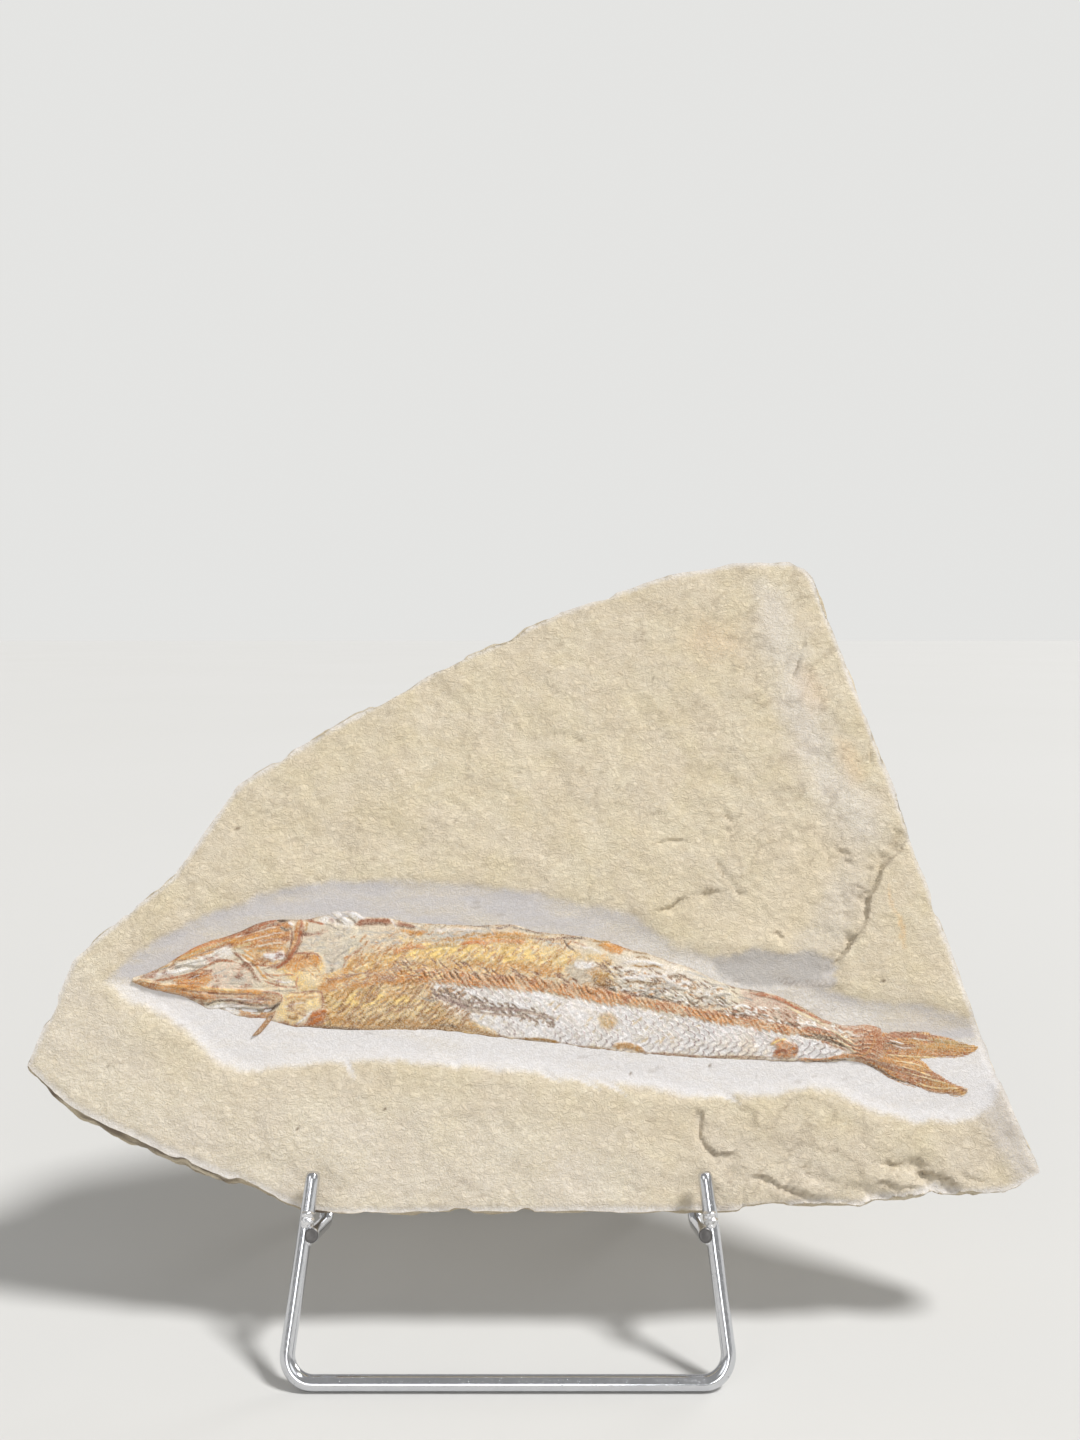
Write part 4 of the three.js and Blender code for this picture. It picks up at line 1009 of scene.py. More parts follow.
TAIL_STROKES = [
    (0.1, 1, "umber 0.45, rust 0.5", 110, 48.6, 114, 48.7, 119, 48.6),
    (0.1, 2.2, "rust 0.75", 109, 47.8, 113, 47.9, 118, 47.5, 122, 47),
    (0.1, 0.6, "pearl 0.8", 109.6, 46.4, 112, 45.8, 114, 45.2),
    (0.1, 0.6, "pearl 0.9", 111, 44.8, 113.4, 44.2, 116, 44.1),
    (-0.1, 0.6, "umber 0.7, rust 0.3", 108.6, 45.6, 111, 45.4, 113, 44.7),
    (0.1, 0.6, "pearl 0.5", 116, 46.9, 119, 46.5, 122, 46.2),
    (0.1, 1.6, "olive 0.55, gold 0.4", 122, 46.6, 126, 46.2, 130, 45.4, 133.4, 44.8),
    (0, 1.2, "orange 0.5, amber 0.4", 112, 43.2, 118, 43, 124, 42.8, 129, 42.8),
    (0.1, 0.7, "gold 0.5", 108, 42.4, 114, 41.9, 121, 41.6, 126, 41.8),
    (0.1, 0.6, "gold 0.45", 110, 40.8, 115, 40.2, 120, 38.9),
    (0.1, 0.6, "gold 0.45", 111, 39.4, 116, 38.2, 121.6, 36.2),
    (0.1, 0.6, "gold 0.4", 113, 37.8, 119, 36, 126, 34.4),
    (0.1, 0.7, "gold 0.5", 116, 34.9, 121, 33.4, 129, 33),
    (0, 0.8, "rust 0.6", 104, 41, 109, 39, 114, 37, 119, 35.2),
    (0, 0.8, "rust 0.6", 106, 40.2, 112, 38.9, 118, 37.4),
    (-0.1, 0.9, "umber 0.5, rust 0.4", 101, 41, 105, 38.8, 110, 36, 115, 34.2, 120, 32.1, 125, 31.3,
     129.4, 31.1),
    (0.2, 0.7, "pearl 0.3", 129, 33.4, 131, 32.8, 130.4, 31.4, 128.8, 30.9),
    (0, 0.6, "rust 0.5, umber 0.2", 118, 32.8, 124, 31.9, 129, 31.7),
]


def scales(x, y, lean, pitch, row, seed):
    """Overlapping scales in slanting rows: how raised, how dark the rim, and a tone for each scale."""
    u = (x - lean * y) / pitch + 0.22 * rough(x, y, 4.5, 2, seed + 5)
    i = np.floor(u).astype(np.int64)
    v = y / row + 0.5 * (i % 2) + 0.3 * waves(x, y, 3, seed)
    j = np.floor(v).astype(np.int64)
    across = 2 * (v - j) - 1
    u = u - i + 0.38 * across**2
    i = i + (u >= 1)
    u = u % 1.0
    rim = ramp(0.7, 0.86, u) * (1 - ramp(0.93, 1.0, u))
    return ramp(0, 0.8, u) * (1 - ramp(0.86, 1.0, u)), rim, chance(i, j, seed)


def deepen(sheet, name, amount):
    """Adds to one finish over whatever is there."""
    share = sheet.finish[name]
    share += (1 - share) * np.clip(amount, 0, 1)


def bare(sheet, amount):
    """Lets the pale bone under the finishes show through."""
    for share in sheet.finish.values():
        share *= 1 - np.clip(amount, 0, 1)


def scaled_flanks(sheet):
    """The scale rows: slanting up the golden belly and back, pointing to the tail on the white flank."""
    x, y = sheet.x + 0.6 * sheet.drift_x, sheet.y + 0.6 * sheet.drift_y
    line = height_at(SCUTE_LINE, x)
    behind_gills = ramp(-56, -53, x)
    below = 1 - ramp(-2.4, -1.2, y - line + 0.5 * sheet.speck)
    front = behind_gills * (1 - ramp(-2, 2, x + 24.5 - 1.35 * np.maximum(61 - y, 0) + 1.5 * sheet.speck))
    above = ramp(0.6, 2.0, y - line) * (1 - ramp(24, 34, x)) * ramp(-52, -45, x - 1.3 * np.maximum(y - 69, 0))
    worn = ramp(-0.45, 0.25, rough(x, y, 5, 3, 614))

    raised, rim, tone = scales(x, y, 0.95, 2.1, 1.9, 611)
    share = np.maximum(below * front, 0.55 * above)
    sheet.height += 0.34 * share * (raised - 0.5)
    sheet.lay(EVERY, share * 0.6 * ramp(0.6, 0.95, tone) * worn, {"gold": 0.55, "pearl": 0.1})
    sheet.lay(EVERY, share * 0.6 * (1 - ramp(0.08, 0.4, tone)), {"amber": 0.85, "olive": 0.12})
    low = 1 - ramp(50, 55, y)
    deepen(sheet, "olive", share * rim * (0.4 + 0.3 * worn))
    deepen(sheet, "umber", share * rim * worn * (0.14 + 0.16 * low))

    middle = 47.6 - 0.03 * (x - 20)
    fold = middle + np.abs(y - middle)
    raised, rim, tone = scales(x, fold, -0.8, 2.25, 1.9, 612)
    rear = 1 - ramp(97, 101, x)
    share = below * (1 - front) * ramp(-30, -20, x) * rear
    clear = np.clip(0.6 + 0.3 * ramp(15, 60, x) + 0.35 * waves(x, y, 6, 613), 0, 1)
    sheet.height += 0.34 * share * clear * (raised - 0.5)
    warm = (0.15 + 0.2 * ramp(40, 70, x)) * ramp(0.0, 0.7, waves(x, y, 9, 615))
    sheet.lay(EVERY, share * 0.7 * ramp(0.35, 0.9, tone) * warm, {"gold": 0.45, "amber": 0.1})
    sheet.lay(EVERY, share * 0.35 * (1 - ramp(0.05, 0.35, tone)), {"ash": 0.8, "plum": 0.1})
    deepen(sheet, "plum", share * rim * clear * 0.6)
    deepen(sheet, "umber", share * rim * clear * worn * 0.46)


def scute_band(sheet):
    """The row of keeled scutes along the side, from the gill cover to the tail."""
    x = sheet.x + 0.8 * sheet.drift_x
    gap = sheet.y + 0.9 * sheet.drift_y - height_at(SCUTE_LINE, x)
    wide = 2.5 - 0.6 * ramp(20, 50, x) - 0.4 * ramp(60, 90, x) + 0.5 * rough(x, x * 0, 4, 2, 622)
    tooth = ((x + 0.75 * gap) / 1.9 + 0.9 * rough(x, gap * 0.6, 4.5, 4, 623)) % 1.0
    tooth = np.abs(2 * tooth - 1)
    body = ramp(-1, -0.5, gap / wide - 0.5 * tooth + 0.3) * (1 - ramp(0.5, 1.1, gap / wide + 0.35 * tooth))
    worn = ramp(-0.6, 0.1, rough(x * 0.8, gap, 3.0, 4, 625))
    body = body * ramp(-50, -26, x) * (1 - ramp(97, 100, x)) * (0.32 + 0.68 * worn)
    pale = 1 - 0.45 * (1 - ramp(-30, -13, x)) - 0.25 * ramp(34, 40, x) * (1 - ramp(46, 50, x))
    blush = rough(x, sheet.y, 3.4, 3, 621)
    core = body * pale * np.clip(0.8 + 0.45 * blush, 0, 1)
    sheet.lay(EVERY, core, {"amber": 0.65, "orange": 0.6})
    sheet.lay(EVERY, core * ramp(-0.1, 0.5, blush + 0.4 * sheet.speck), {"rust": 0.75, "amber": 0.3})
    sheet.height += body * (0.12 + 0.32 * tooth)
    # light wedges between the scutes, then their dark upper edges
    wedge = body * ramp(0.55, 0.85, tooth) * (1 - ramp(-0.2, 0.4, gap / wide)) * ramp(-0.4, 0.3, blush)
    sheet.lay(EVERY, wedge * 0.65, {"pearl": 0.4, "gold": 0.3})
    mark = ramp(0.5, 0.85, 1 - tooth) * ramp(-0.4, 0.0, gap / wide) * (1 - ramp(0.5, 0.9, gap / wide))
    mark = mark * body * ramp(-46, -20, x) * (1 - 0.5 * ramp(20, 36, x)) * ramp(-0.5, 0.25, -blush)
    deepen(sheet, "umber", mark * 0.62)
    sheet.height -= 0.22 * mark
    top = ramp(0.5, 0.8, gap / wide) * (1 - ramp(1.05, 1.4, gap / wide))
    top = top * ramp(20, 30, x) * (1 - ramp(92, 97, x)) * ramp(-0.35, 0.25, rough(x, sheet.y, 2.4, 2, 624))
    deepen(sheet, "rust", top * 0.5)
    deepen(sheet, "umber", top * 0.5)
    sheet.height -= 0.15 * top


def weathering(sheet, lean, seed, dark, light):
    """Scratchy wear along a slant: low parts darkened, high parts rubbed down to pale bone."""
    x, y = sheet.x, sheet.y
    along, across = x + lean * y, y - lean * x
    scratch = rough(along * 0.36, across, 1.7, 3, seed) + 0.35 * rough(x, y, 1.2, 2, seed + 7)
    patchy = np.clip(0.65 + 0.6 * rough(x, y, 11, 3, seed + 3), 0.15, 1)
    golden = np.clip(sheet.finish["gold"] + sheet.finish["amber"] + sheet.finish["olive"], 0, 1)
    brown = np.clip(sheet.finish["rust"] + sheet.finish["orange"], 0, 1)
    deepen(sheet, "olive", 0.95 * dark * golden * (1 - brown) * patchy * ramp(0.05, 0.6, scratch))
    deepen(sheet, "rust", 0.8 * dark * np.clip(0.12 + brown, 0, 1) * patchy * ramp(0.05, 0.6, scratch))
    deepen(sheet, "umber", 0.7 * dark * patchy * ramp(0.35, 0.9, scratch))
    bare(sheet, light * patchy * ramp(0.2, 0.75, -scratch))
    sheet.height -= 0.14 * scratch


def flecks(sheet, seed, count, low, high, length, lean, width, height, finish):
    """Short marks scattered over a part of the fish."""
    for k in range(count):
        a, b, c, d = draws(k, 0, seed)
        x, y = low[0] + a * (high[0] - low[0]), low[1] + b * (high[1] - low[1])
        y += float(height_at(SCUTE_LINE, x))
        run = length * (0.5 + c)
        tilt = lean + 0.9 * (d - 0.5)
        dx, dy = run / 2, run * tilt / 2
        points = [(x - dx, y - dy), (x, y + 0.2 * (c - 0.5)), (x + dx, y + dy)]
        sheet.stroke(points, width * (0.7 + 0.6 * d), height, drift=1.0, **finish)


# Broad streaks of colour: height, width, drift, how broken, finishes, then the points.
BROAD_TONES = [
    (0.15, 6.5, 2, 0.35, "gold 1", -44, 66.5, -34, 70.5, -24, 71.4, -12, 71.6, 0, 71, 10, 69.8, 18, 68.4),
    (0, 2.6, 2, 0.4, "olive 0.6, amber 0.4", -30, 73.6, -20, 75, -8, 75.6, 4, 76.2, 14, 74.6),
    (0, 3.2, 2, 0.3, "olive 0.35, amber 0.5", -52, 51.4, -40, 51, -28, 51, -16, 50.6, -6, 49),
    (0, 4.5, 2.5, 0.3, "gold 0.95", -50, 57, -40, 57.6, -30, 58, -26, 57),
]
# Sets of flecks: seed, how many, the low and high corners of their area from the scute line, their
# length, lean, width, height and finishes. Dark and light ones on the gold, then pink, white and grey.
FLECKS = [
    (641, 150, (-50, 2.6), (18, 13), 2.2, 0.75, 0.6, 0.08, "orange 0.55, olive 0.35"),
    (640, 110, (-50, -13), (-12, -3), 2.4, 0.85, 0.6, -0.1, "rust 0.5, olive 0.4"),
    (642, 120, (-50, 2.6), (18, 11), 1.8, 0.7, 0.6, 0.1, "gold 0.4, pearl 0.3"),
    (652, 150, (26, 1.4), (66, 10), 2.2, -0.45, 0.55, -0.14, "rust 0.45, umber 0.45"),
    (653, 26, (-12, -11), (60, -3), 1.6, 0.7, 0.5, -0.08, "gold 0.3, plum 0.2"),
    (654, 46, (-36, 1), (20, 4), 2.2, -0.7, 0.6, -0.1, "rust 0.6, umber 0.3"),
    (643, 60, (-54, -1.5), (-20, 2.5), 2.2, 0.15, 0.6, 0.06, "rust 0.55, umber 0.1"),
    (644, 40, (-54, -1.5), (-20, 2.5), 1.8, 0.15, 0.5, 0.06, "gold 0.5"),
    (645, 90, (29, 2), (64, 9), 1.7, -0.1, 0.8, 0.12, "pearl 0.75"),
    (646, 80, (29, 2), (64, 9), 1.6, 0.0, 0.7, -0.1, "ash 0.6, umber 0.22"),
    (647, 50, (29, 2), (64, 9), 1.4, 0.1, 0.7, 0.06, "amber 0.4, rust 0.2"),
    (648, 90, (62, 1), (99, 5), 1.4, -0.5, 0.7, 0.12, "rust 0.6, umber 0.12"),
    (649, 80, (62, 1), (99, 5), 1.3, -0.4, 0.7, 0.12, "pearl 0.7"),
    (650, 50, (-44, 9), (-8, 14), 2.4, 0.0, 0.6, -0.06, "ash 0.85"),
    (651, 40, (-62, 10), (-44, 16), 1.8, -0.1, 0.6, -0.06, "ash 0.7"),
]


def fish_sheet(x, y, across):
    """The fish: across runs from -1 at its lower edge to 1 at its upper edge."""
    fish = Sheet(x, y, FISH_FINISHES, covers=True)
    edge = 1 - np.abs(across)
    stout = 1 - 0.62 * ramp(99, 108, x)
    snout = ramp(-112, -100, x)
    dome = (1 - (1 - np.clip(edge, 0, 1)) ** 3.0) * (0.75 + 0.6 * snout) * stout
    fish.height += FISH_EDGE + dome + 0.1 * rough(x, y, 9, 3, 631)
    for height, feather, finish, *path in [*HEAD_PATCHES, *BODY_PATCHES]:
        fish.patch(pairs(path), feather, height, broken=0.25, drift=2.1, **shares_of(finish))
    # broad changes of tone in the gold: paler on the crest of the back, browner by its edges
    body = ramp(-56, -50, x)
    tone = rough(x * 0.5 - 0.3 * y, y, 5, 3, 632)
    gold = fish.finish["gold"] + fish.finish["amber"]
    deepen(fish, "orange", 0.4 * body * gold * ramp(0.0, 0.6, tone))
    deepen(fish, "olive", 0.5 * body * gold * ramp(0.1, 0.7, rough(x, y, 7, 3, 633)))
    belly = [(-49, 56), (-30, 57), (-18, 55), (-12, 51), (-16, 47), (-34, 47), (-46, 50)]
    fish.patch(belly, 3.5, 0, broken=0.3, drift=2.1, gold=0.34, amber=0.12)
    for height, width, drift, broken, finish, *path in BROAD_TONES:
        fish.stroke(pairs(path), width, height, drift=drift, broken=broken, **shares_of(finish))
    scaled_flanks(fish)
    scute_band(fish)
    for seed, count, low, high, length, lean, width, height, finish in FLECKS:
        flecks(fish, seed, count, low, high, length, lean, width, height, shares_of(finish))
    # a run of dark scale rims across the white flank
    for k in range(46):
        along = (k // 2) / 22
        px = -22.5 + 35 * along + 0.5 * math.sin(3.7 * k)
        py = 60.2 - 7.6 * along - 1.7 * (k % 2) + 0.6 * math.sin(5.1 * k)
        rim_points = [(px - 1.0, py + 0.8), (px + 0.4, py), (px - 0.6, py - 0.9)]
        fish.stroke(rim_points, 0.85, -0.16, drift=0.9, taper=(0.1, 0.1), plum=0.5, umber=0.44)
    # fine rays run over the root of the tail and out into its lobes
    for k in range(20):
        t = k / 19
        start = (95.5 + 1.2 * math.sin(4.3 * k), 42.6 + 5.2 * t)
        root = [start, (101.5, 41.4 + 8.2 * t), (107.4, 38.6 + 11.2 * t)]
        tone = ("rust 0.7, umber 0.12", "pearl 0.35, gold 0.2", "amber 0.5, rust 0.3")[k % 3]
        fish.stroke(root, 0.7, (-0.12, 0.1, -0.06)[k % 3], drift=2.2, broken=0.75, **shares_of(tone))
    for height, width, finish, *path in [*HEAD_STROKES, *BODY_STROKES]:
        fish.stroke(pairs(path), width, height, broken=0.25, taper=(0.15, 0.15), **shares_of(finish))
    head = 1 - body
    weathering(fish, 0.55, 655, 0.5, 0.4 - 0.05 * head)
    tail_root = ramp(97, 102, x)
    deepen(fish, "rust", 0.42 * tail_root)
    cracked = rough(x * 0.5 - 0.15 * y, y, 1.5, 3, 657)
    deepen(fish, "rust", 0.5 * head * ramp(0.1, 0.55, cracked))
    deepen(fish, "umber", 0.45 * head * ramp(0.4, 0.9, cracked))
    fish.height -= 0.14 * head * cracked
    # the fine relief dies away at the border, and painted shade darkens a band at its foot, where the fish
    # meets the stone
    floor = FISH_EDGE + dome
    fish.height = floor + (fish.height - floor) * ramp(0.0, 0.16, edge)
    foot = (1 - ramp(0.0, 0.08, edge)) * ramp(-0.5, 0.3, rough(x, y, 2.6, 2, 634))
    deepen(fish, "rust", 0.35 * foot)
    deepen(fish, "umber", 0.45 * foot)
    return fish


def tail_sheet(x, y, across):
    """One lobe of the tail fin, with its fine rays fanning out from the hub."""
    fin = Sheet(x, y, FISH_FINISHES, covers=True)
    edge = 1 - np.abs(across)
    dx, dy = x - TAIL_HUB[0], y - TAIL_HUB[1]
    turn, far = np.degrees(np.arctan2(dy, dx)), np.hypot(dx, dy)
    ray = np.abs(2 * ((turn * (0.8 + 0.02 * far) + 0.5 * waves(far, turn, 6, 661)) % 1.0) - 1)
    fin.height += -2.0 + 0.55 * (1 - (1 - edge) ** 3) - 0.25 * ramp(104, 132, x) + 0.2 * (ray - 0.5)
    streak = rough(far * 0.16, turn * 0.9, 1.6, 3, 662) + 0.3 * fin.speck
    fin.lay(EVERY, 1.0 + 0 * x, {"amber": 0.7, "orange": 0.25})
    fin.lay(EVERY, ramp(-0.1, 0.5, streak) * 0.85, {"rust": 0.6, "orange": 0.35})
    fin.lay(EVERY, ramp(-0.3, 0.4, -streak) * 0.85 * ramp(106, 122, x), {"gold": 0.55, "amber": 0.45})
    upper = ramp(-1, 1, turn)
    rusty = upper * (1 - ramp(112, 122, x)) * 0.6 * ramp(-0.6, 0.3, streak)
    fin.lay(EVERY, rusty, {"rust": 0.75, "plum": 0.1})
    deepen(fin, "rust", (1 - ramp(0.1, 0.45, ray)) * 0.5)
    deepen(fin, "umber", (1 - ramp(0.05, 0.3, ray)) * 0.3 * ramp(-0.4, 0.3, streak))
    joint = np.abs(2 * ((far / 1.3 + 0.2 * fin.speck) % 1.0) - 1)
    deepen(fin, "umber", (1 - ramp(0.0, 0.25, joint)) * 0.22 * ramp(112, 118, x))
    for height, width, finish, *path in TAIL_STROKES:
        fin.stroke(pairs(path), width, height, broken=0.35, taper=(0.15, 0.15), **shares_of(finish))
    weathering(fin, -0.05, 665, 0.45, 0.35)
    # the thin border of the fin lets the pale ground through
    border = 1 - ramp(0.02, 0.2, edge + 0.16 * rough(far * 0.3, turn, 1.5, 2, 663))
    border *= ramp(119, 125, x)
    bare(fin, border * 0.5)
    deepen(fin, "pearl", border * 0.4)
    return fin


UPPER_LOBE = (
    pairs([
        103, 49.6, 107, 48.8, 112, 49, 119.4, 49.3, 126, 48.1, 132, 46.4, 135.6, 44.9,
    ]),
    pairs([
        103, 42, 110, 39.8, 115, 39.2, 118.4, 40.2, 122, 41, 126, 40.8, 130, 41, 133.6, 42.2, 135.6, 44,
    ]),
)
LOWER_LOBE = (
    pairs([
        100.5, 43, 104, 42.8, 110, 42.4, 115, 42.2, 118.6, 41.6, 121, 39.4, 123.4, 37.6, 127, 35.4,
        131.4, 33.4,
    ]),
    pairs([
        100.5, 40.6, 104, 38.9, 110, 35.4, 115, 33.4, 120, 31.3, 125, 30.4, 129, 30.3, 131.4, 32,
    ]),
)
SPIKE = (
    pairs([
        -75, 47.9, -73.4, 49.9, -71.6, 52.2, -69.8, 54.4, -68.4, 54.9,
    ]),
    pairs([
        -75, 47.5, -73, 48.1, -71, 50.2, -69.4, 52.6, -68.4, 54.5,
    ]),
)


def spike_sheet(x, y, across):
    spike = Sheet(x, y, FISH_FINISHES, covers=True)
    spike.height += -1.9 + 0.9 * (1 - np.abs(across) ** 3)
    spike.lay(EVERY, 1.0 + 0 * x, {"rust": 0.5, "olive": 0.3, "amber": 0.15})
    spike.lay(EVERY, ramp(0.0, 0.5, spike.speck), {"umber": 0.5, "rust": 0.4})
    return spike


def relief_piece(name, upper, lower, columns, rows, painter):
    """A low relief between two lines, closed underneath, with its border sunk into the stone."""
    x = np.linspace(max(upper[0][0], lower[0][0]), min(upper[-1][0], lower[-1][0]), columns)
    share = np.linspace(0, 1, rows)
    share = 0.5 - 0.5 * np.cos(math.pi * share) * (1 - 0.62 * np.sin(math.pi * share))
    low, high = height_at(lower, x), height_at(upper, x)
    wave = 0.22 * rough(x, x * 0, 2.6, 3, 671)
    low, high = low + wave, high + 0.22 * rough(x, x * 0 + 40, 2.6, 3, 672)
    gx = np.repeat(x[:, None], rows, axis=1)
    gy = low[:, None] + share[None, :] * (high - low)[:, None]
    across = np.repeat(2 * share[None, :] - 1, columns, axis=0)
    sheet = painter(gx.ravel(), gy.ravel(), across.ravel())
    height = sheet.height.reshape(columns, rows)
    height[[0, -1]], height[:, [0, -1]] = SUNK, SUNK
    top = np.stack([gx.ravel(), gy.ravel(), height.ravel()], axis=-1)
    piece = mesh_of(name, top, [grid_faces(columns, rows)[:, ::-1], border_of(columns, rows)[None, :]])
    add_shares(piece, sheet.finish)
    move_to_frame(piece)
    return piece


# ---------------------------------------------------------------- the stand
WIRE_SIDES = 28
WELD_SIDES = 24
WELD_RINGS = 34
LONGEST_STEP = 3 * MM  # between a wire's rings on a straight run


def on_lean(x, along, front):
    """A point of the leaning half of the stand: along from the rail, front from the prongs' centreline."""
    return to_frame(x, along - SLAB_FOOT, front + STANDOFF)


def bent(corners, radius, step=0.9 * MM):
    """Points along straight runs joined by arcs."""
    corners = np.array(corners, float)
    radius = radius * MM
    path = [corners[0]]
    for before, corner, after in zip(corners, corners[1:], corners[2:]):
        a, b = before - corner, after - corner
        a, b = a / np.linalg.norm(a), b / np.linalg.norm(b)
        half = math.acos(np.clip(a @ b, -1, 1)) / 2
        middle = corner + (a + b) / np.linalg.norm(a + b) * radius / math.sin(half)
        start, end = corner + a * radius / math.tan(half), corner + b * radius / math.tan(half)
        turn = math.pi - 2 * half
        for t in np.linspace(0, 1, max(3, math.ceil(radius * turn / step))):
            swung = math.sin((1 - t) * turn) * (start - middle) + math.sin(t * turn) * (end - middle)
            path.append(middle + swung / math.sin(turn))
    path.append(corners[-1])
    fine = []
    for a, b in zip(path, path[1:]):
        runs = max(1, math.ceil(np.linalg.norm(b - a) / LONGEST_STEP))
        fine += [a + (b - a) * k / runs for k in range(runs)]
    return np.array([*fine, path[-1]])


def spokes(sides, across, other):
    """Steps of a length of 1 from a ring's middle to each of its points."""
    turns = 2 * math.pi * np.arange(sides) / sides
    return np.cos(turns)[:, None] * across + np.sin(turns)[:, None] * other


def wire(name, path, ends):
    """A drawn wire swept along a path, with a profile of insets and steps at its two ends."""
    tangents = np.gradient(path, axis=0)
    tangents /= np.linalg.norm(tangents, axis=1)[:, None]
    side = np.cross(tangents[0], [0.31, 0.87, 0.41])
    radius = WIRE_RADIUS * MM
    places = []
    for point, tangent in zip(path, tangents):
        side = side - tangent * (side @ tangent)
        side = side / np.linalg.norm(side)
        places.append((point, tangent, side))
    first, *middle, last = places
    plan = [(first, inset, size) for inset, size in ends]
    plan += [(place, 0, 1) for place in middle]
    plan += [(last, -inset, size) for inset, size in reversed(ends)]
    rings = []
    for (point, tangent, across), inset, size in plan:
        ring = spokes(WIRE_SIDES, across, np.cross(tangent, across))
        rings.append(point + tangent * inset * radius + size * radius * ring)
    points = np.vstack(rings)
    piece = mesh_of(name, points, closed_tube(len(rings), WIRE_SIDES))
    piece.data.set_sharp_from_angle(angle=SHARP_WIRE)
    cut = np.zeros(len(points))
    if ends is CUT_END:
        cut[: 4 * WIRE_SIDES] = 1
        cut[-4 * WIRE_SIDES :] = 1
    add_shares(piece, {"cut": cut})
    return piece


ROUND_END = [(0.0, 0.1), (0.01, 0.28), (0.06, 0.5), (0.16, 0.7), (0.32, 0.86), (0.55, 0.96), (0.9, 1.0)]
CUT_END = [(0.04, 0.2), (0.01, 0.6), (0.0, 0.8), (0.05, 0.92), (0.16, 0.985), (0.35, 1.0)]


def weld(name, start, end, thick, seed):
    """A lumpy run of weld metal between two points."""
    start, end = np.array(start), np.array(end)
    axis = (end - start) / np.linalg.norm(end - start)
    across = np.cross(axis, [0.3, 0.5, 0.8])
    across /= np.linalg.norm(across)
    other = np.cross(axis, across)
    turns = 2 * math.pi * np.arange(WELD_SIDES) / WELD_SIDES
    made = []
    for t in np.linspace(0.015, 0.985, WELD_RINGS):
        size = thick * MM * (1 - abs(2 * t - 1) ** 2.6) ** 0.5
        lumps = 1 + 0.16 * rough(np.cos(turns) * 2 + 7 * t, np.sin(turns) * 2 + 9 * t, 1.3, 3, seed)
        lumps = lumps * (1 + 0.07 * math.sin(6 * math.pi * t))
        centre = start + (end - start) * t
        made.append(centre + (size * lumps)[:, None] * spokes(WELD_SIDES, across, other))
    return mesh_of(name, np.vstack(made), closed_tube(WELD_RINGS, WELD_SIDES))


def both_sides(right):
    """A wire's corners, from its left end across to its right end, out of those of its right half."""
    left = [on_lean(-x, along, front) for x, along, front in right]
    return left + [on_lean(*corner) for corner in right[::-1]]


def stand_pieces():
    """Each wire and weld, with the CAD node it belongs to."""
    top = SHELF_HEIGHT + BACKREST_HEIGHT
    front = [(FRONT_HALF_TIP, FRONT_LENGTH, 0), (FRONT_HALF_FOOT, 0, 0)]
    cradle = [
        (SHELF_HALF, SHELF_HEIGHT, SHELF_NOSE),
        (SHELF_HALF, SHELF_HEIGHT, -BACKREST_DEPTH),
        (SHELF_HALF, top, -BACKREST_DEPTH),
    ]
    joint = on_lean(0, top - REAR_WELD_DROP, -BACKREST_DEPTH)
    foot = np.array([STAND_X, REAR_Y, FLOOR_Z + WIRE_RADIUS * MM])
    rear = [
        joint + [-REAR_HALF_TOP * MM, 0, 0], foot + [-REAR_HALF_FOOT * MM, 0, 0],
        foot + [REAR_HALF_FOOT * MM, 0, 0], joint + [REAR_HALF_TOP * MM, 0, 0],
    ]
    made = [
        (wire("front_wire", bent(both_sides(front), RAIL_BEND), ROUND_END), "front_frame"),
        (wire("cradle_wire", bent(both_sides(cradle), CRADLE_BEND), CUT_END), "cradle"),
        (wire("rear_wire", bent(rear, RAIL_BEND), CUT_END), "rear_leg"),
    ]
    for side, word in ((-1, "left"), (1, "right")):
        inner = side * (SHELF_HALF + 0.9)
        for k, (start, end) in enumerate((
            ((inner + side * 0.2, SHELF_HEIGHT - 2.9, 0.35), (inner - side * 0.1, SHELF_HEIGHT + 2.9, 0.35)),
            ((inner + side * 0.9, SHELF_HEIGHT + 1.2, 0.7), (inner + side * 0.5, SHELF_HEIGHT + 6.8, 0.5)),
        )):
            name, thick, seed = f"shelf_weld_{word}_{k + 1}", (1.5, 2.0)[k], 701 + 3 * k + side
            made.append((weld(name, on_lean(*start), on_lean(*end), thick, seed), "front_frame"))
        x = side * (SHELF_HALF + REAR_HALF_TOP) / 2
        low, high = top - REAR_WELD_DROP - 7, top - REAR_WELD_DROP + 1.5
        for k, depth in enumerate((-1.1, 1.1)):
            start = on_lean(x, low, depth - BACKREST_DEPTH)
            end = on_lean(x, high, depth - BACKREST_DEPTH)
            made.append((weld(f"rear_weld_{word}_{k + 1}", start, end, 1.15, 721 + k + side), "rear_leg"))
    return made


# ---------------------------------------------------------------- materials
def paint(red, green, blue):
    """A colour from 0 to 255 a channel, as a shader's linear colour."""
    shares = (red / 255, green / 255, blue / 255)
    return (*(c / 12.92 if c <= 0.04045 else ((c + 0.055) / 1.055) ** 2.4 for c in shares), 1.0)


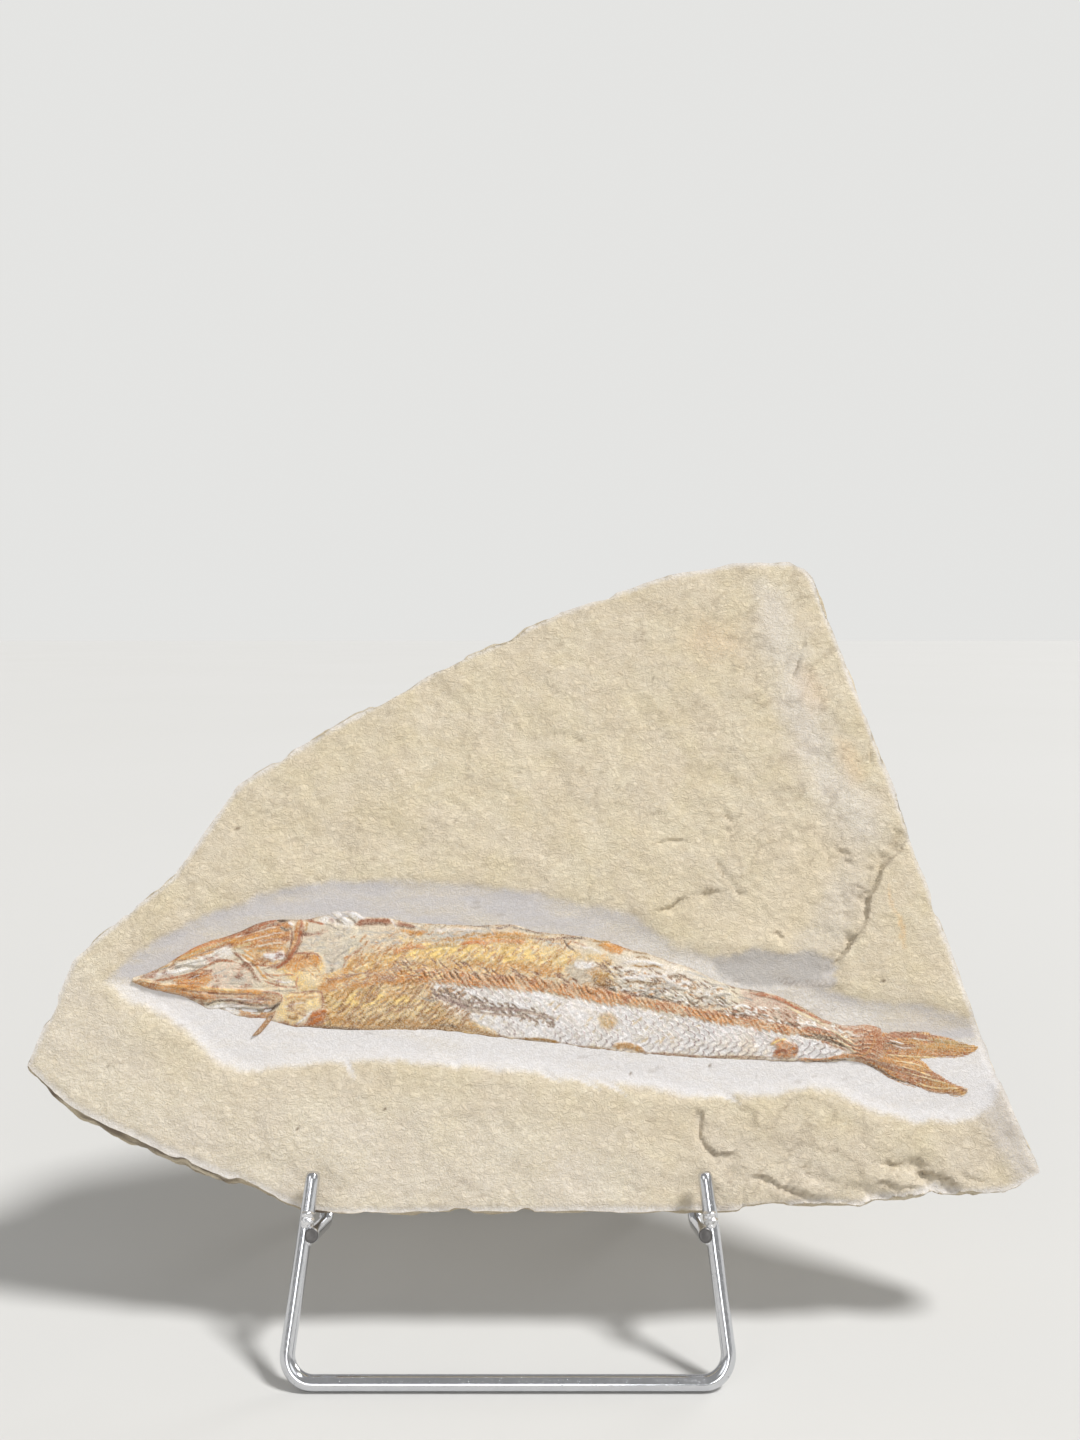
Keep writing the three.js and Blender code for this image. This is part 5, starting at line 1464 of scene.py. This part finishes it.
class Nodes:
    """Adds nodes to a tree and joins them."""

    def __init__(self, tree):
        self.tree = tree
        self.spot = 0

    def add(self, kind, inputs=None, **settings):
        node = self.tree.nodes.new("ShaderNode" + kind)
        node.location = (220 * (self.spot % 9) - 1600, -260 * (self.spot // 9))
        self.spot += 1
        for name, value in settings.items():
            setattr(node, name, value)
        for name, value in (inputs or {}).items():
            self.feed(node.inputs[name], value)
        return node

    def feed(self, socket, value):
        if isinstance(value, bpy.types.NodeSocket):
            self.tree.links.new(value, socket)
        else:
            socket.default_value = value

    def mix(self, below, above, share, blend="MIX"):
        node = self.add("Mix", data_type="RGBA", blend_type=blend, clamp_factor=True)
        self.feed(node.inputs[0], share)
        self.feed(node.inputs[6], below)
        self.feed(node.inputs[7], above)
        return node.outputs[2]

    def sum(self, operation, a, b):
        return self.add("Math", {0: a, 1: b}, operation=operation).outputs[0]

    def times(self, a, b):
        return self.sum("MULTIPLY", a, b)

    def plus(self, a, b):
        return self.sum("ADD", a, b)

    def span(self, value, low, high, out_low, out_high, eased=True):
        kind = "SMOOTHSTEP" if eased else "LINEAR"
        inputs = {"Value": value, "From Min": low, "From Max": high, "To Min": out_low, "To Max": out_high}
        return self.add("MapRange", inputs, interpolation_type=kind).outputs["Result"]

    def noise(self, vector, scale, detail=3.0, roughness=0.55, distortion=0.0):
        inputs = {"Vector": vector, "Scale": scale, "Detail": detail, "Roughness": roughness}
        return self.add("TexNoise", {**inputs, "Distortion": distortion}).outputs["Fac"]

    def share(self, name):
        return self.add("Attribute", attribute_type="GEOMETRY", attribute_name=name).outputs["Fac"]

    def placed(self, vector, turn, scale):
        inputs = {"Vector": vector, "Rotation": turn, "Scale": scale}
        return self.add("Mapping", inputs).outputs["Vector"]

    def millimetres(self, turn=0.0):
        """The piece's own coordinates in millimetres, tipped back by a turn."""
        here = self.add("TexCoord").outputs["Object"]
        return self.placed(here, (turn, 0, 0), (1 / MM, 1 / MM, 1 / MM))

    def washed(self, wash, below, above, share, noise, ragged):
        inputs = {"Below": below, "Above": above, "Share": share, "Noise": noise, "Ragged": ragged}
        return self.add("Group", inputs, node_tree=wash).outputs["Color"]

    def shaded(self, colour, grey):
        """The colour darkened or lightened by a number round 1."""
        tone = self.add("CombineColor", {"Red": grey, "Green": grey, "Blue": grey}).outputs[0]
        return self.mix(colour, tone, 1.0, "MULTIPLY")


def new_group(name, inputs, outputs):
    """An empty shader node group, with its inputs' kinds and values and its outputs' kinds."""
    tree = bpy.data.node_groups.new(name, "ShaderNodeTree")
    for label, (kind, value) in inputs.items():
        tree.interface.new_socket(label, in_out="INPUT", socket_type=kind).default_value = value
    for label, kind in outputs.items():
        tree.interface.new_socket(label, in_out="OUTPUT", socket_type=kind)
    given, made = tree.nodes.new("NodeGroupInput"), tree.nodes.new("NodeGroupOutput")
    return Nodes(tree), given.outputs, made.inputs


def stone_grain_group():
    """Limestone's texture in sheet millimetres: clouds, slanting streaks, crinkles, grain, flecks, layers."""
    outputs = {name: "NodeSocketFloat" for name in ("Cloud", "Streak", "Crinkle", "Grain", "Fleck", "Layer")}
    nodes, given, made = new_group("stone_grain", {"Shift": ("NodeSocketFloat", 0.0)}, outputs)
    sheet = nodes.millimetres(LEAN - math.pi / 2)
    sheet = nodes.add("VectorMath", {0: sheet, 1: given["Shift"]}, operation="ADD").outputs[0]
    nodes.feed(made["Cloud"], nodes.span(nodes.noise(sheet, 0.07, 5, 0.62, 0.3), 0.34, 0.66, 0, 1))
    slanting = nodes.placed(sheet, (0, 0, GRAIN_LEAN), (0.5, 0.8, 0.8))
    nodes.feed(made["Streak"], nodes.span(nodes.noise(slanting, 0.8, 5, 0.62, 0.4), 0.4, 0.66, 0, 1))
    crinkle = nodes.placed(sheet, (0, 0, GRAIN_LEAN), (0.8, 1, 1))
    crinkle = nodes.noise(crinkle, 0.62, 5, 0.62, 0.5)
    ridged = nodes.sum("ABSOLUTE", nodes.sum("SUBTRACT", crinkle, 0.5), 0.0)
    nodes.feed(made["Crinkle"], nodes.span(ridged, 0.0, 0.14, 0, 1, eased=False))
    nodes.feed(made["Grain"], nodes.noise(sheet, 2.2, 6, 0.7))
    nodes.feed(made["Fleck"], nodes.span(nodes.noise(slanting, 1.9, 3, 0.5), 0.58, 0.7, 0, 1))
    layered = nodes.placed(sheet, (0, 0, 0), (0.035, 0.035, 0.85))
    nodes.feed(made["Layer"], nodes.noise(layered, 1.0, 6, 0.62, 0.15))
    return nodes.tree


def wash_group():
    """One finish over another, its edge broken up by a noise."""
    inputs = {
        "Below": ("NodeSocketColor", (1, 1, 1, 1)),
        "Above": ("NodeSocketColor", (1, 1, 1, 1)),
        "Share": ("NodeSocketFloat", 0.0),
        "Noise": ("NodeSocketFloat", 0.5),
        "Ragged": ("NodeSocketFloat", 0.6),
    }
    nodes, given, made = new_group("wash", inputs, {"Color": "NodeSocketColor"})
    away = nodes.times(nodes.sum("SUBTRACT", given["Noise"], 0.5), given["Ragged"])
    # the noise only bites where a share is part way between none and all
    partial = nodes.times(given["Share"], nodes.sum("SUBTRACT", 1.0, given["Share"]))
    bite = nodes.times(nodes.times(away, partial), 8.0)
    share = nodes.plus(given["Share"], bite)
    nodes.feed(made["Color"], nodes.mix(given["Below"], given["Above"], share))
    return nodes.tree


def new_material(name):
    material = bpy.data.materials.new(name)
    material.use_nodes = True
    nodes = Nodes(material.node_tree)
    return material, nodes, material.node_tree.nodes["Principled BSDF"].inputs


def bumped(nodes, shader, height, distance, strength=1.0):
    bump = nodes.add("Bump", {"Height": height, "Distance": distance, "Strength": strength})
    nodes.feed(shader["Normal"], bump.outputs["Normal"])


STONE = {
    "warm": paint(218, 204, 174),
    "pale": paint(225, 213, 188),
    "buff": paint(202, 185, 157),
    "blush": paint(216, 202, 183),
    "ochre": paint(224, 186, 134),
    "fleck": paint(240, 233, 216),
    "ash": paint(194, 190, 191),
    # painted shade on the trench's upper wall
    "slate": paint(178, 173, 169),
    "chalk": paint(222, 219, 219),
    # mostly painted shade: the dark brown laid in cracks, pits, dents, crevices and under flake lips, with
    # some staining
    "stain": paint(120, 100, 78),
    "bare": paint(224, 209, 183),
    "broken": paint(226, 214, 190),
    "seam": paint(182, 164, 134),
    "weathered": paint(128, 114, 98),
}
FOSSIL = {
    "cream": paint(228, 211, 186),
    "ash": paint(192, 186, 178),
    "pearl": paint(244, 240, 238),
    "gold": paint(254, 219, 140),
    "amber": paint(214, 148, 58),
    "orange": paint(206, 122, 46),
    "rust": paint(164, 92, 52),
    "olive": paint(160, 113, 38),
    "plum": paint(162, 132, 130),
    "umber": paint(84, 60, 46),
}


def limestone_material(grain, wash):
    material, nodes, shader = new_material("limestone")
    texture = nodes.add("Group", node_tree=grain).outputs
    other = nodes.add("Group", {"Shift": 77.0}, node_tree=grain).outputs

    def tinted(below, *tints):
        for name, pattern, most in tints:
            below = nodes.mix(below, STONE[name], nodes.times(pattern, most))
        return below

    colour = nodes.mix(STONE["warm"], STONE["pale"], texture["Cloud"])
    streaks, flakes = texture["Streak"], texture["Fleck"]
    colour = tinted(colour, ("blush", other["Cloud"], 0.5), ("buff", streaks, 0.32), ("fleck", flakes, 0.28))

    def washed(below, name, share, ragged):
        return nodes.washed(wash, below, STONE[name], share, texture["Grain"], ragged)

    colour = washed(colour, "bare", nodes.times(nodes.share("bare"), 0.6), 0.7)
    for name, most in (("ochre", 0.9), ("ash", 0.92), ("chalk", 0.94), ("slate", 0.9)):
        colour = washed(colour, name, nodes.times(nodes.share(name), most), 0.8)
    # the smooth ground keeps a faint mottling
    colour = tinted(colour, ("buff", streaks, 0.08))
    broken = nodes.share("broken")
    # layers show along the edge, and painted shade in the fine creases over the back
    back = nodes.share("back")
    layer = nodes.times(nodes.span(texture["Layer"], 0.38, 0.6, 0, 1), nodes.span(back, 0, 1, 0.9, 0.35))
    side = nodes.mix(STONE["broken"], STONE["seam"], layer)
    crease_shade = nodes.times(nodes.span(texture["Crinkle"], 0, 0.4, 0.5, 0), back)
    side = nodes.mix(side, STONE["seam"], crease_shade)
    side = tinted(side, ("pale", other["Streak"], 0.4), ("fleck", flakes, 0.5), ("buff", streaks, 0.5))
    colour = nodes.mix(colour, side, nodes.times(broken, 0.85))
    colour = washed(colour, "weathered", nodes.share("weathered"), 0.9)
    # painted shade, with some stain, in the cracks, crevices and under the lips
    colour = washed(colour, "stain", nodes.share("stain"), 0.6)
    grey = nodes.span(texture["Grain"], 0.3, 0.7, 0.93, 1.04, eased=False)
    # painted shade: the creases of the fine crinkle bump are darker, on top of the grain's tone
    grey = nodes.times(grey, nodes.span(texture["Crinkle"], 0, 1, 0.95, 1.03))
    nodes.feed(shader["Base Color"], nodes.shaded(colour, grey))
    nodes.feed(shader["Roughness"], nodes.span(texture["Grain"], 0.3, 0.7, 0.82, 0.97))
    shader["Specular IOR Level"].default_value = 0.3
    # the scraped ground is smoother than the split face
    ground = nodes.sum("MAXIMUM", nodes.share("ash"), nodes.share("chalk"))
    split = nodes.span(ground, 0, 1, 1.0, 0.3)
    fine = nodes.times(texture["Grain"], nodes.span(broken, 0, 1, 0.7, 1.6))
    shape = nodes.plus(texture["Crinkle"], nodes.times(streaks, 0.6))
    shape = nodes.plus(fine, nodes.times(nodes.times(shape, 0.5), split))
    layers = nodes.times(nodes.times(texture["Layer"], broken), 2.2)
    bumped(nodes, shader, nodes.plus(shape, layers), 0.3 * MM)
    return material


def fossil_material(grain, wash):
    material, nodes, shader = new_material("fossil_bone")
    texture = nodes.add("Group", {"Shift": 31.0}, node_tree=grain).outputs
    colour = nodes.mix(FOSSIL["cream"], STONE["pale"], texture["Cloud"])
    for name in list(FOSSIL)[1:]:
        colour = nodes.washed(wash, colour, FOSSIL[name], nodes.share(name), texture["Grain"], 1.4)
    grey = nodes.span(texture["Grain"], 0.32, 0.68, 0.84, 1.1, eased=False)
    # painted shade: the creases of the fine crinkle bump are darker, on top of the grain's tone
    grey = nodes.times(grey, nodes.span(texture["Crinkle"], 0, 1, 0.86, 1.03))
    colour = nodes.shaded(colour, grey)
    nodes.feed(shader["Base Color"], nodes.mix(colour, STONE["fleck"], nodes.times(texture["Fleck"], 0.12)))
    nodes.feed(shader["Roughness"], nodes.span(texture["Grain"], 0.3, 0.7, 0.4, 0.75))
    shader["Specular IOR Level"].default_value = 0.4
    shape = nodes.plus(texture["Grain"], nodes.times(texture["Crinkle"], 0.5))
    bumped(nodes, shader, shape, 0.2 * MM)
    return material


def chrome_material():
    material, nodes, shader = new_material("chrome_wire")
    millimetres = nodes.millimetres()
    cloud = nodes.noise(millimetres, 0.12, 4, 0.6)
    haze = nodes.noise(millimetres, 0.9, 5, 0.65)
    pits = nodes.span(nodes.noise(millimetres, 2.6, 2, 0.5), 0.66, 0.74, 0, 1)
    colour = nodes.mix(paint(226, 227, 230), paint(200, 202, 207), cloud)
    colour = nodes.mix(colour, paint(122, 118, 112), nodes.times(pits, 0.7))
    cut = nodes.share("cut")
    nodes.feed(shader["Base Color"], nodes.mix(colour, paint(104, 102, 101), cut))
    shader["Metallic"].default_value = 1.0
    smear = nodes.plus(nodes.span(haze, 0.35, 0.7, 0.08, 0.24), nodes.times(pits, 0.3))
    nodes.feed(shader["Roughness"], nodes.plus(smear, nodes.times(cut, 0.25)))
    uneven = nodes.sum("SUBTRACT", nodes.times(haze, 0.25), pits)
    bumped(nodes, shader, nodes.plus(nodes.times(cloud, 2.0), uneven), 0.03 * MM)
    return material


def weld_material():
    material, nodes, shader = new_material("weld_metal")
    millimetres = nodes.millimetres()
    lumps = nodes.noise(millimetres, 0.7, 4, 0.6)
    colour = nodes.mix(paint(232, 232, 234), paint(150, 148, 146), nodes.span(lumps, 0.48, 0.72, 0, 1))
    nodes.feed(shader["Base Color"], colour)
    shader["Metallic"].default_value = 1.0
    nodes.feed(shader["Roughness"], nodes.span(lumps, 0.35, 0.7, 0.2, 0.42))
    bumped(nodes, shader, lumps, 0.25 * MM)
    return material


def floor_material():
    material, nodes, shader = new_material("pale_floor")
    here = nodes.add("TexCoord").outputs["Object"]
    cloud = nodes.noise(here, 1.4, 4, 0.5)
    nodes.feed(shader["Base Color"], nodes.mix(paint(202, 201, 199), paint(198, 197, 194), cloud))
    shader["Roughness"].default_value = 0.85
    return material


# ---------------------------------------------------------------- the studio
KEY_LIGHT = 3.2
SKY_LIGHT = 0.36
SKY_BEHIND = 0.8  # how bright the sky itself looks
FLOOR_HALF = 14.0  # metres
FLOOR_POINTS = 9  # along each side
LENS = 18.03
SENSOR = 24
CAMERA_TILT = math.radians(85)
EYE = (8.5, -268.7, 200.8)  # millimetres from the middle of the front rail's line on the floor


def studio():
    """A wide pale floor, a pale sky of even light, a soft key light from above and broad fill lights."""
    scene = bpy.context.scene
    along = np.linspace(-FLOOR_HALF, FLOOR_HALF, FLOOR_POINTS)
    points = np.array([(x, y, FLOOR_Z) for y in along for x in along])
    floor = mesh_of("studio_floor", points, [grid_faces(FLOOR_POINTS, FLOOR_POINTS)])
    floor.data.materials.append(floor_material())
    world = bpy.data.worlds.new("soft_sky")
    world.use_nodes = True
    sky = Nodes(world.node_tree)
    back = world.node_tree.nodes["Background"].inputs
    back["Color"].default_value = paint(252, 252, 250)
    # even light on the object, a paler sky behind it
    seen = sky.add("LightPath").outputs["Is Camera Ray"]
    sky.feed(back["Strength"], sky.span(seen, 0, 1, SKY_LIGHT, SKY_BEHIND))
    scene.world = world
    lamps = (
        # name, which way its light goes, how wide it is in degrees, how strong
        ("key_light", (-0.5, 0.2, -0.84), 11, KEY_LIGHT),
        ("left_fill", (0.95, 1.15, -0.69), 31, 0.28),
        ("right_fill", (-1.0, 1.1, -0.84), 30, 0.22),
        ("front_fill", (0.1, 1.6, -0.31), 17, 0.28),
        ("back_fill", (-0.85, -0.65, -0.3), 24, 0.9),
    )
    for name, aim, width, strength in lamps:
        light = bpy.data.lights.new(name, "SUN")
        light.energy, light.angle = strength, math.radians(width)
        lamp = bpy.data.objects.new(name, light)
        lamp.rotation_euler = Vector(aim).to_track_quat("-Z", "Y").to_euler()
        scene.collection.objects.link(lamp)
    scene.view_settings.view_transform = "Standard"

    camera = bpy.data.cameras.new("camera")
    camera.sensor_fit, camera.sensor_height, camera.lens = "VERTICAL", SENSOR, LENS
    camera.clip_start = 0.01
    eye = bpy.data.objects.new("camera", camera)
    eye.location = (STAND_X + EYE[0] * MM, RAIL_Y + EYE[1] * MM, FLOOR_Z + EYE[2] * MM)
    eye.rotation_euler = (CAMERA_TILT, 0, 0)
    scene.collection.objects.link(eye)
    scene.camera = eye


# ---------------------------------------------------------------- putting it together
grain, wash = stone_grain_group(), wash_group()
stone, fossil = limestone_material(grain, wash), fossil_material(grain, wash)
chrome, bead_metal = chrome_material(), weld_material()


def finished(piece, material, node):
    piece.data.materials.clear()
    piece.data.materials.append(material)
    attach(piece, "root")
    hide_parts(node)


finished(limestone_slab(), stone, "slab")
for name, lines, grid, painter in (
    ("fossil_fish", (BACK_LINE, BELLY_LINE), FISH_GRID, fish_sheet),
    ("tail_upper_lobe", UPPER_LOBE, LOBE_GRID, tail_sheet),
    ("tail_lower_lobe", LOWER_LOBE, LOBE_GRID, tail_sheet),
    ("throat_spike", SPIKE, SPIKE_GRID, spike_sheet),
):
    finished(relief_piece(name, *lines, *grid, painter), fossil, "slab")
for piece, node in stand_pieces():
    finished(piece, bead_metal if "weld" in piece.name else chrome, node)
studio()

bpy.context.view_layer.update()
